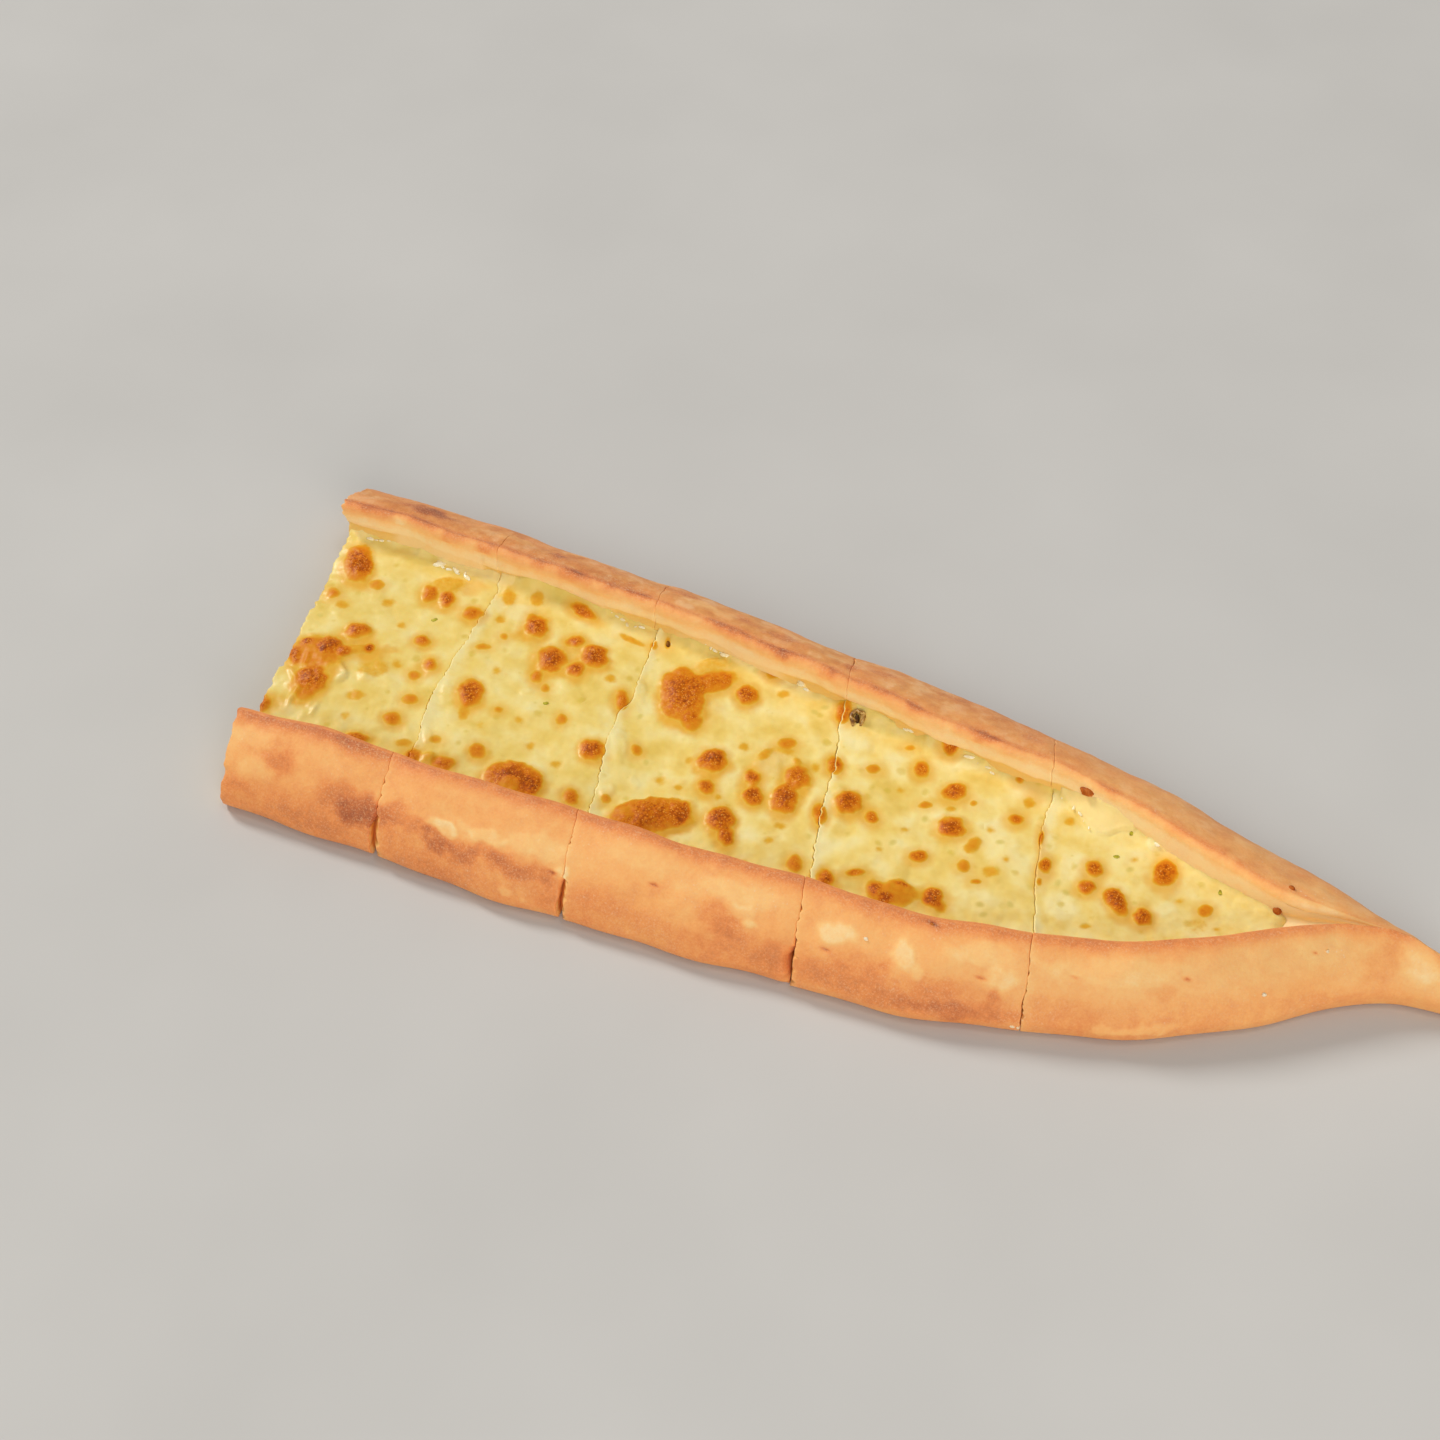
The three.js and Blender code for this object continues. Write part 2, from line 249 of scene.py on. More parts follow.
class Shade:
    """Small helper that strings shader nodes together."""

    def __init__(self, name):
        self.mat = bpy.data.materials.new(name)
        self.mat.use_nodes = True
        self.tree = self.mat.node_tree
        self.tree.nodes.clear()
        self.out = self.node("ShaderNodeOutputMaterial")
        self.bsdf = self.node("ShaderNodeBsdfPrincipled")
        self.link(self.bsdf.outputs[0], self.out.inputs[0])
        place = self.node("ShaderNodeTexCoord")
        big = self.node("ShaderNodeVectorMath")
        big.operation = "SCALE"
        big.inputs["Scale"].default_value = 1000.0
        self.link(place.outputs["Object"], big.inputs[0])
        self.p = big.outputs[0]

    def node(self, kind):
        return self.tree.nodes.new(kind)

    def link(self, a, b):
        self.tree.links.new(a, b)

    def put(self, value, socket):
        if isinstance(value, bpy.types.NodeSocket):
            self.link(value, socket)
        else:
            socket.default_value = value

    def attr(self, name):
        n = self.node("ShaderNodeAttribute")
        n.attribute_name = name
        return n.outputs["Fac"]

    def noise(self, scale, detail=2.0, rough=0.5, distort=0.0, vector=None):
        n = self.node("ShaderNodeTexNoise")
        self.link(vector or self.p, n.inputs["Vector"])
        n.inputs["Scale"].default_value = scale
        n.inputs["Detail"].default_value = detail
        n.inputs["Roughness"].default_value = rough
        n.inputs["Distortion"].default_value = distort
        return n.outputs[0]

    def voronoi(self, scale, feature="F1", randomness=1.0, vector=None):
        n = self.node("ShaderNodeTexVoronoi")
        n.feature = feature
        self.link(vector or self.p, n.inputs["Vector"])
        n.inputs["Scale"].default_value = scale
        n.inputs["Randomness"].default_value = randomness
        return n

    def math(self, op, a, b=0.0, clamp=False):
        n = self.node("ShaderNodeMath")
        n.operation = op
        n.use_clamp = clamp
        self.put(a, n.inputs[0])
        self.put(b, n.inputs[1])
        return n.outputs[0]

    def add(self, a, b):
        return self.math("ADD", a, b)

    def mul(self, a, b):
        return self.math("MULTIPLY", a, b)

    def step(self, value, low, high, to_low=0.0, to_high=1.0, soft=True):
        n = self.node("ShaderNodeMapRange")
        n.interpolation_type = "SMOOTHSTEP" if soft else "LINEAR"
        self.put(value, n.inputs["Value"])
        n.inputs["From Min"].default_value = low
        n.inputs["From Max"].default_value = high
        n.inputs["To Min"].default_value = to_low
        n.inputs["To Max"].default_value = to_high
        return n.outputs[0]

    def mix(self, factor, a, b, mode="MIX"):
        n = self.node("ShaderNodeMix")
        n.data_type = "RGBA"
        n.blend_type = mode
        n.clamp_factor = True
        self.put(factor, n.inputs[0])
        self.put(a, n.inputs[6])
        self.put(b, n.inputs[7])
        return n.outputs[2]

    def ramp(self, value, stops):
        n = self.node("ShaderNodeValToRGB")
        self.link(value, n.inputs[0])
        e = n.color_ramp.elements
        while len(e) < len(stops):
            e.new(0.5)
        for k, (at, colour) in enumerate(stops):
            e[k].position = at
        for k, (at, colour) in enumerate(stops):
            e[k].position = at
            e[k].color = lin(*colour)
        return n.outputs[0]

    def bump(self, height, strength, distance, normal=None):
        n = self.node("ShaderNodeBump")
        n.inputs["Strength"].default_value = strength
        n.inputs["Distance"].default_value = distance
        self.link(height, n.inputs["Height"])
        if normal is not None:
            self.link(normal, n.inputs["Normal"])
        return n.outputs[0]


def crust_material():
    s = Shade("crust_baked")
    bake, crumb, flour, oil, tan = s.attr("bake"), s.attr("crumb"), s.attr("flour"), s.attr("oil"), s.attr("tan")
    broad = s.noise(0.075, 3.0, 0.5, 0.3)
    mottle = s.noise(0.33, 4.0, 0.6, 0.3)
    grain = s.noise(1.7, 3.0, 0.65)
    fine = s.noise(2.6, 2.0, 0.6)
    # browning: the painted field plus mottling, and a sandy grain that shows most where it is brown
    b = s.add(bake, s.mul(s.add(broad, -0.5), 0.22))
    b = s.add(b, s.mul(s.add(mottle, -0.5), 0.28))
    sand = s.mul(s.add(grain, -0.5), s.step(bake, 0.25, 0.75, 0.12, 0.30))
    b = s.add(b, sand)
    colour = s.ramp(b, [(0.00, (255, 224, 166)), (0.18, (255, 200, 126)), (0.36, (251, 178, 104)), (0.52, (239, 149, 82)),
                        (0.68, (210, 120, 66)), (0.84, (170, 90, 54)), (1.00, (116, 56, 36))])
    # a breath of flour in the skin, and grains of it that stay pale on the brown
    dust = s.mul(s.step(fine, 0.50, 0.66), s.mul(s.add(flour, 0.20), s.step(bake, 0.40, 0.62, 0.28, 0.52)))
    colour = s.mix(dust, colour, lin(246, 202, 152))
    cells = s.voronoi(1.05)
    dice = s.node("ShaderNodeSeparateColor")
    s.link(cells.outputs["Color"], dice.inputs[0])
    speck = s.mul(s.step(cells.outputs["Distance"], 0.30, 0.12), s.step(dice.outputs[0], 0.40, 0.65))
    speck = s.mul(speck, s.step(s.add(flour, s.mul(s.add(mottle, -0.5), 1.2)), 0.30, 0.85))
    colour = s.mix(s.mul(speck, 0.45), colour, lin(252, 222, 184))
    haze = s.mul(s.step(mottle, 0.45, 0.75), s.mul(flour, 0.20))
    colour = s.mix(haze, colour, lin(240, 192, 142))
    # where fat from the filling soaked in, the dough turns deeper and yellower; under the back lip this band is also
    # painted shadow of the overhang
    colour = s.mix(s.mul(oil, 0.85), colour, lin(240, 192, 92))
    streak = s.ramp(s.noise(0.21, 3.0, 0.6), [(0.36, (202, 126, 66)), (0.50, (224, 156, 86)), (0.64, (241, 196, 140))])
    colour = s.mix(s.mul(tan, 0.62), colour, streak)
    # crumb on the cut faces, its pores painted darker as shadow in the holes; deeper and yellower inside a closed cut,
    # painted shading of the narrow gap
    pores = s.voronoi(0.55).outputs["Distance"]
    crumb_tone = s.ramp(s.noise(0.5, 4.0, 0.6), [(0.25, (222, 164, 92)), (0.5, (242, 196, 122)), (0.75, (250, 218, 156))])
    crumb_tone = s.mix(s.step(pores, 0.28, 0.05), crumb_tone, lin(204, 140, 72))
    crumb_tone = s.mix(s.mul(oil, 0.90), crumb_tone, lin(226, 132, 42))
    colour = s.mix(crumb, colour, crumb_tone)
    s.link(colour, s.bsdf.inputs["Base Color"])
    rough = s.step(grain, 0.3, 0.7, 0.54, 0.72, soft=False)
    rough = s.add(rough, s.mul(oil, -0.20))
    s.link(rough, s.bsdf.inputs["Roughness"])
    skin = s.bump(mottle, 0.22, 0.0007)
    skin = s.bump(grain, 0.34, 0.00024, skin)
    skin = s.bump(fine, 0.22, 0.00012, skin)
    skin = s.bump(speck, 0.30, 0.00012, skin)
    s.link(skin, s.bsdf.inputs["Normal"])
    s.bsdf.inputs["Specular IOR Level"].default_value = 0.30
    s.bsdf.inputs["Subsurface Weight"].default_value = 0.08
    s.bsdf.inputs["Subsurface Radius"].default_value = (1.0, 0.5, 0.22)
    s.bsdf.inputs["Subsurface Scale"].default_value = 0.0014
    s.bsdf.inputs["Sheen Weight"].default_value = 0.03
    return s.mat


def cheese_material():
    s = Shade("cheese_melted")
    brown, glow, oil, pale = s.attr("brown"), s.attr("glow"), s.attr("oil"), s.attr("pale")
    shadow_and_olive, cream = s.attr("shadow_and_olive"), s.attr("cream")
    broad = s.noise(0.10, 2.0, 0.5)
    mid = s.noise(0.19, 2.0, 0.45)
    small = s.noise(0.80, 2.0, 0.5)
    tone = s.add(s.mul(mid, 0.60), s.mul(broad, 0.40))
    colour = s.ramp(tone, [(0.32, (236, 201, 100)), (0.44, (245, 214, 120)), (0.55, (250, 225, 142)), (0.70, (252, 235, 168))])
    # golden where the fat pools, paler where the curd stands proud; the pale mix also carries painted highlights on
    # skin wrinkles and raised knife edges, and a painted falloff of the light, paler towards the tip
    fat = s.step(s.add(oil, s.mul(s.add(mid, -0.5), 0.6)), 0.25, 0.95)
    colour = s.mix(s.mul(fat, 0.60), colour, lin(246, 200, 88))
    colour = s.mix(s.mul(s.step(s.add(pale, s.mul(s.add(small, -0.5), 0.5)), 0.20, 0.95), 0.80), colour, lin(253, 238, 176))
    # olive-dark mix: painted shadow under the back lip, at the wall foot and on the cut faces, darker towards the open
    # end; also the real olive flecks
    colour = s.mix(s.mul(shadow_and_olive, 0.60), colour, lin(214, 192, 92))
    # soft yellow-olive flecks inside the cheese
    cells = s.voronoi(0.27)
    dice = s.node("ShaderNodeSeparateColor")
    s.link(cells.outputs["Color"], dice.inputs[0])
    size = s.step(dice.outputs[0], 0.30, 1.0, 0.02, 0.30, soft=False)
    gap = s.math("SUBTRACT", s.add(cells.outputs["Distance"], s.mul(s.add(small, -0.5), 0.25)), size)
    fleck = s.mul(s.step(gap, 0.14, -0.14), s.step(dice.outputs[1], 0.2, 0.7))
    colour = s.mix(s.mul(fleck, 0.58), colour, lin(216, 184, 62))
    # cream foot of the wall
    colour = s.mix(s.mul(s.step(s.add(cream, s.mul(s.add(small, -0.5), 0.4)), 0.10, 0.90), 0.85), colour, lin(253, 226, 152))
    # browned blisters: golden glow, orange skin, orange-brown grainy heart
    g = s.step(s.add(glow, s.mul(s.add(small, -0.5), 0.16)), 0.02, 0.85, soft=False)
    colour = s.mix(s.mul(g, 0.92), colour, lin(234, 174, 54))
    kernels = s.voronoi(2.2)
    beads = kernels.outputs["Distance"]                 # granules: 0 in the middle of each
    lot = s.node("ShaderNodeSeparateColor")
    s.link(kernels.outputs["Color"], lot.inputs[0])
    heart = s.step(brown, 0.38, 0.62)
    v = s.add(brown, s.mul(s.add(small, -0.5), 0.28))
    v = s.add(v, s.mul(s.mul(s.add(lot.outputs[1], -0.45), 0.26), heart))
    v = s.add(v, s.mul(s.mul(s.add(beads, -0.46), 0.20), heart))
    toast = s.ramp(v, [(0.00, (238, 198, 84)), (0.12, (232, 180, 58)), (0.24, (229, 164, 38)), (0.36, (227, 150, 26)), (0.48, (222, 132, 14)),
                       (0.60, (211, 113, 4)), (0.74, (186, 90, 0)), (0.90, (146, 64, 0))])
    rim = s.add(brown, s.mul(s.add(small, -0.5), 0.10))
    colour = s.mix(s.step(rim, 0.00, 0.16), colour, toast)
    # pale grains in the browned hearts, partly real colour and partly painted glints
    light = s.mul(s.mul(s.step(beads, 0.38, 0.14), s.step(lot.outputs[0], 0.45, 0.70)), heart)
    colour = s.mix(s.mul(light, 0.75), colour, lin(246, 184, 88))
    s.link(colour, s.bsdf.inputs["Base Color"])
    rough = s.step(small, 0.3, 0.7, 0.28, 0.40, soft=False)
    rough = s.add(rough, s.mul(s.step(brown, 0.05, 0.35), 0.12))
    s.link(rough, s.bsdf.inputs["Roughness"])
    skin = s.bump(small, 0.10, 0.0004)
    knob = s.mul(s.step(beads, 0.60, 0.05), heart)
    skin = s.bump(knob, 0.30, 0.00014, skin)
    s.link(skin, s.bsdf.inputs["Normal"])
    s.bsdf.inputs["Specular IOR Level"].default_value = 0.15
    s.bsdf.inputs["Subsurface Weight"].default_value = 0.12
    s.bsdf.inputs["Subsurface Radius"].default_value = (1.0, 0.6, 0.25)
    s.bsdf.inputs["Subsurface Scale"].default_value = 0.0012
    return s.mat


def bit_material(name, stops, scale, rough, gloss=0.12):
    s = Shade(name)
    s.bsdf.inputs["Specular IOR Level"].default_value = gloss
    colour = s.ramp(s.noise(scale, 3.0, 0.6), stops)
    s.link(colour, s.bsdf.inputs["Base Color"])
    s.link(s.step(s.noise(scale * 2, 2.0), 0.3, 0.7, rough - 0.1, rough + 0.1, soft=False), s.bsdf.inputs["Roughness"])
    s.link(s.bump(s.noise(scale * 2.5, 2.0), 0.4, 0.0002), s.bsdf.inputs["Normal"])
    return s.mat


# ================================================================ painted marks
# Crust patches: place (part frame), reach along and across the rim, browner (+) or paler (-).
CRUST_PATCHES = np.array([
    # front rim
    (-115.1, -41.8, 13.1, 4.4, 4.0, 0.34), (-99.7, -44.7, 10.7, 4.7, 3.3, 0.30), (-91.6, -45.4, 9.6, 6.3, 3.3, 0.55),
    (-89.7, -46.7, 6.5, 2.3, 0.9, -0.30), (-122.3, -39.9, 14.2, 7.4, 2.6, -0.16),
    (-119.5, -45.1, 10.8, 4.2, 2.8, -0.14), (-103.5, -39.3, 14.3, 9.3, 3.0, -0.06),
    (-122.6, -48.5, 7.6, 4.2, 2.3, 0.12), (-106.1, -49.9, 5.4, 9.8, 2.1, 0.10),
    (-102.4, -34.3, 16.2, 11.6, 1.6, 0.12), (-127.1, -42.1, 13.0, 2.3, 5.1, -0.10),
    (-84.6, -43.8, 11.2, 3.3, 2.6, 0.32), (-78.3, -45.0, 10.5, 3.7, 2.1, 0.32), (-73.6, -46.2, 9.4, 3.7, 2.1, 0.42),
    (-67.8, -46.6, 9.0, 4.2, 2.6, 0.34), (-62.4, -45.1, 10.4, 4.7, 2.1, 0.30), (-57.4, -45.5, 9.7, 4.7, 2.6, 0.32),
    (-50.2, -45.7, 8.7, 5.1, 2.6, 0.32), (-69.5, -35.4, 16.2, 16.3, 2.8, -0.10),
    (-72.5, -44.2, 11.2, 4.7, 1.2, -0.40), (-64.4, -42.3, 12.5, 7.0, 1.9, -0.26),
    (-51.3, -40.6, 12.7, 8.4, 2.8, -0.20), (-45.1, -42.9, 9.5, 2.3, 1.9, -0.30), (-73.7, -50.3, 3.3, 9.3, 2.8, 0.12),
    (-54.5, -49.4, 5.0, 3.3, 1.6, -0.25), (-45.7, -47.7, 6.1, 3.3, 2.8, 0.16), (-29.7, -36.1, 15.1, 10.5, 3.5, -0.12),
    (-5.5, -35.9, 14.1, 11.6, 3.0, -0.18), (-5.7, -39.0, 12.1, 3.7, 2.1, -0.22), (-2.3, -40.5, 10.7, 2.3, 1.4, -0.32),
    (-8.9, -41.0, 10.8, 5.8, 2.8, 0.28), (-4.9, -42.4, 9.1, 4.7, 2.1, 0.20), (-21.7, -40.9, 11.8, 7.0, 2.6, 0.12),
    (-35.2, -44.7, 9.2, 7.0, 3.0, 0.08), (4.7, -43.4, 7.2, 4.7, 4.7, 0.12), (-11.6, -45.5, 6.8, 11.6, 2.1, 0.06),
    (14.5, -36.6, 13.1, 4.9, 2.8, -0.34), (30.0, -36.0, 12.7, 2.8, 4.2, -0.32), (33.2, -37.2, 11.4, 2.1, 2.1, -0.20),
    (45.8, -30.5, 14.6, 8.4, 2.8, -0.20), (50.6, -32.9, 11.7, 4.2, 2.6, -0.26), (22.1, -39.7, 10.1, 7.0, 3.0, 0.22),
    (28.0, -38.9, 10.4, 2.8, 1.9, 0.16), (20.0, -42.5, 7.2, 9.3, 3.3, 0.14), (39.1, -38.0, 9.5, 6.0, 3.3, 0.20),
    (49.0, -36.0, 8.7, 2.3, 2.1, 0.26), (44.4, -39.5, 5.3, 14.0, 2.1, 0.22), (32.2, -42.4, 5.9, 11.6, 2.1, 0.12),
    (24.9, -30.7, 15.7, 14.0, 1.9, 0.08), (72.4, -23.2, 14.3, 16.3, 3.0, -0.12), (59.2, -27.3, 14.3, 3.7, 2.3, -0.12),
    (81.6, -22.4, 11.7, 3.3, 2.3, 0.20), (75.8, -30.3, 5.2, 18.6, 1.4, -0.18), (108.2, -0.8, 14.0, 7.0, 3.3, -0.10),
    (121.4, 3.4, 10.5, 5.6, 4.2, 0.24), (122.0, 7.0, 13.3, 2.8, 2.8, 0.12), (128.7, 6.8, 11.6, 4.2, 5.6, -0.20),
    (115.2, -2.7, 7.4, 7.0, 2.1, -0.10), (72.6, -28.6, 9.5, 11.6, 2.1, 0.06), (62.8, -31.4, 9.7, 6.0, 3.3, 0.06),
    # back rim
    (-121.9, 40.0, 14.5, 7.4, 2.9, 0.40), (-131.4, 42.1, 13.1, 3.7, 2.4, 0.10), (-112.9, 32.0, 14.6, 2.1, 1.8, 0.26),
    (-126.0, 33.0, 16.6, 1.9, 1.2, -0.18), (-28.0, 35.8, 14.5, 4.6, 1.6, 0.26), (-133.6, 31.8, 15.7, 6.5, 2.1, 0.10),
    (-109.1, 40.5, 14.0, 4.2, 1.8, -0.12), (-98.5, 39.5, 14.6, 5.1, 2.1, -0.30), (-86.4, 38.4, 15.1, 2.1, 2.1, 0.44),
    (-80.4, 40.6, 13.6, 3.3, 2.1, -0.10), (-103.2, 32.2, 14.9, 2.6, 1.8, 0.26), (-79.3, 33.3, 16.5, 4.7, 1.8, 0.14),
    (-69.7, 34.9, 15.9, 4.7, 2.1, 0.16), (-63.0, 34.5, 16.1, 3.3, 2.4, 0.14), (-87.4, 33.8, 16.8, 3.3, 1.8, 0.10),
    (-49.2, 38.0, 14.6, 4.7, 2.1, -0.20), (-44.9, 36.8, 15.1, 5.1, 1.8, -0.16), (-37.9, 38.2, 13.8, 3.3, 1.8, 0.22),
    (-52.9, 40.4, 13.2, 4.7, 1.5, 0.22), (-26.8, 29.9, 16.0, 4.0, 1.5, 0.30), (-37.6, 31.8, 16.6, 6.0, 1.8, 0.12),
    (-17.0, 36.3, 13.7, 4.2, 1.8, -0.10), (-13.0, 28.0, 15.5, 3.0, 1.8, 0.18), (-9.5, 32.9, 15.3, 2.1, 1.8, 0.30),
    (-2.0, 35.5, 13.6, 4.2, 2.1, 0.24), (4.4, 31.3, 15.3, 6.0, 2.1, -0.08), (13.4, 37.2, 11.0, 4.2, 1.5, 0.10),
    (25.8, 24.7, 16.3, 3.7, 1.8, 0.28), (22.6, 24.1, 15.7, 4.7, 1.5, 0.12), (36.1, 28.9, 15.0, 3.7, 1.8, 0.16),
    (32.3, 23.0, 15.7, 4.7, 1.8, 0.06), (56.2, 21.3, 16.1, 3.3, 1.8, 0.20), (64.0, 20.3, 15.9, 3.3, 1.8, 0.14),
    (72.9, 16.7, 15.8, 4.2, 1.8, 0.12), (80.8, 16.0, 15.5, 4.2, 1.8, 0.08), (89.3, 13.4, 15.0, 4.7, 2.1, 0.10),
    (96.8, 20.5, 10.6, 5.6, 2.4, 0.10), (104.5, 14.2, 12.8, 6.0, 2.6, -0.12),
])

# Short cracks and pits in the skin of the crust, painted darker as shadow in them: place, reach, depth.
CRUST_PITS = np.array([
    (14.3, -39.8, 10.5, 0.9, 0.30), (29.9, -40.2, 8.9, 0.9, 0.26), (46.2, -34.0, 11.6, 0.8, 0.28), (85.3, -18.6, 13.1, 1.0, 0.24),
    (33.4, -28.7, 16.3, 1.0, 0.20), (-24.8, -40.2, 12.5, 0.8, 0.16), (-46.6, -44.2, 9.9, 0.9, 0.26), (63.8, -27.4, 13.1, 0.8, 0.16),
    (107.6, -1.7, 13.7, 0.7, 0.14),
])

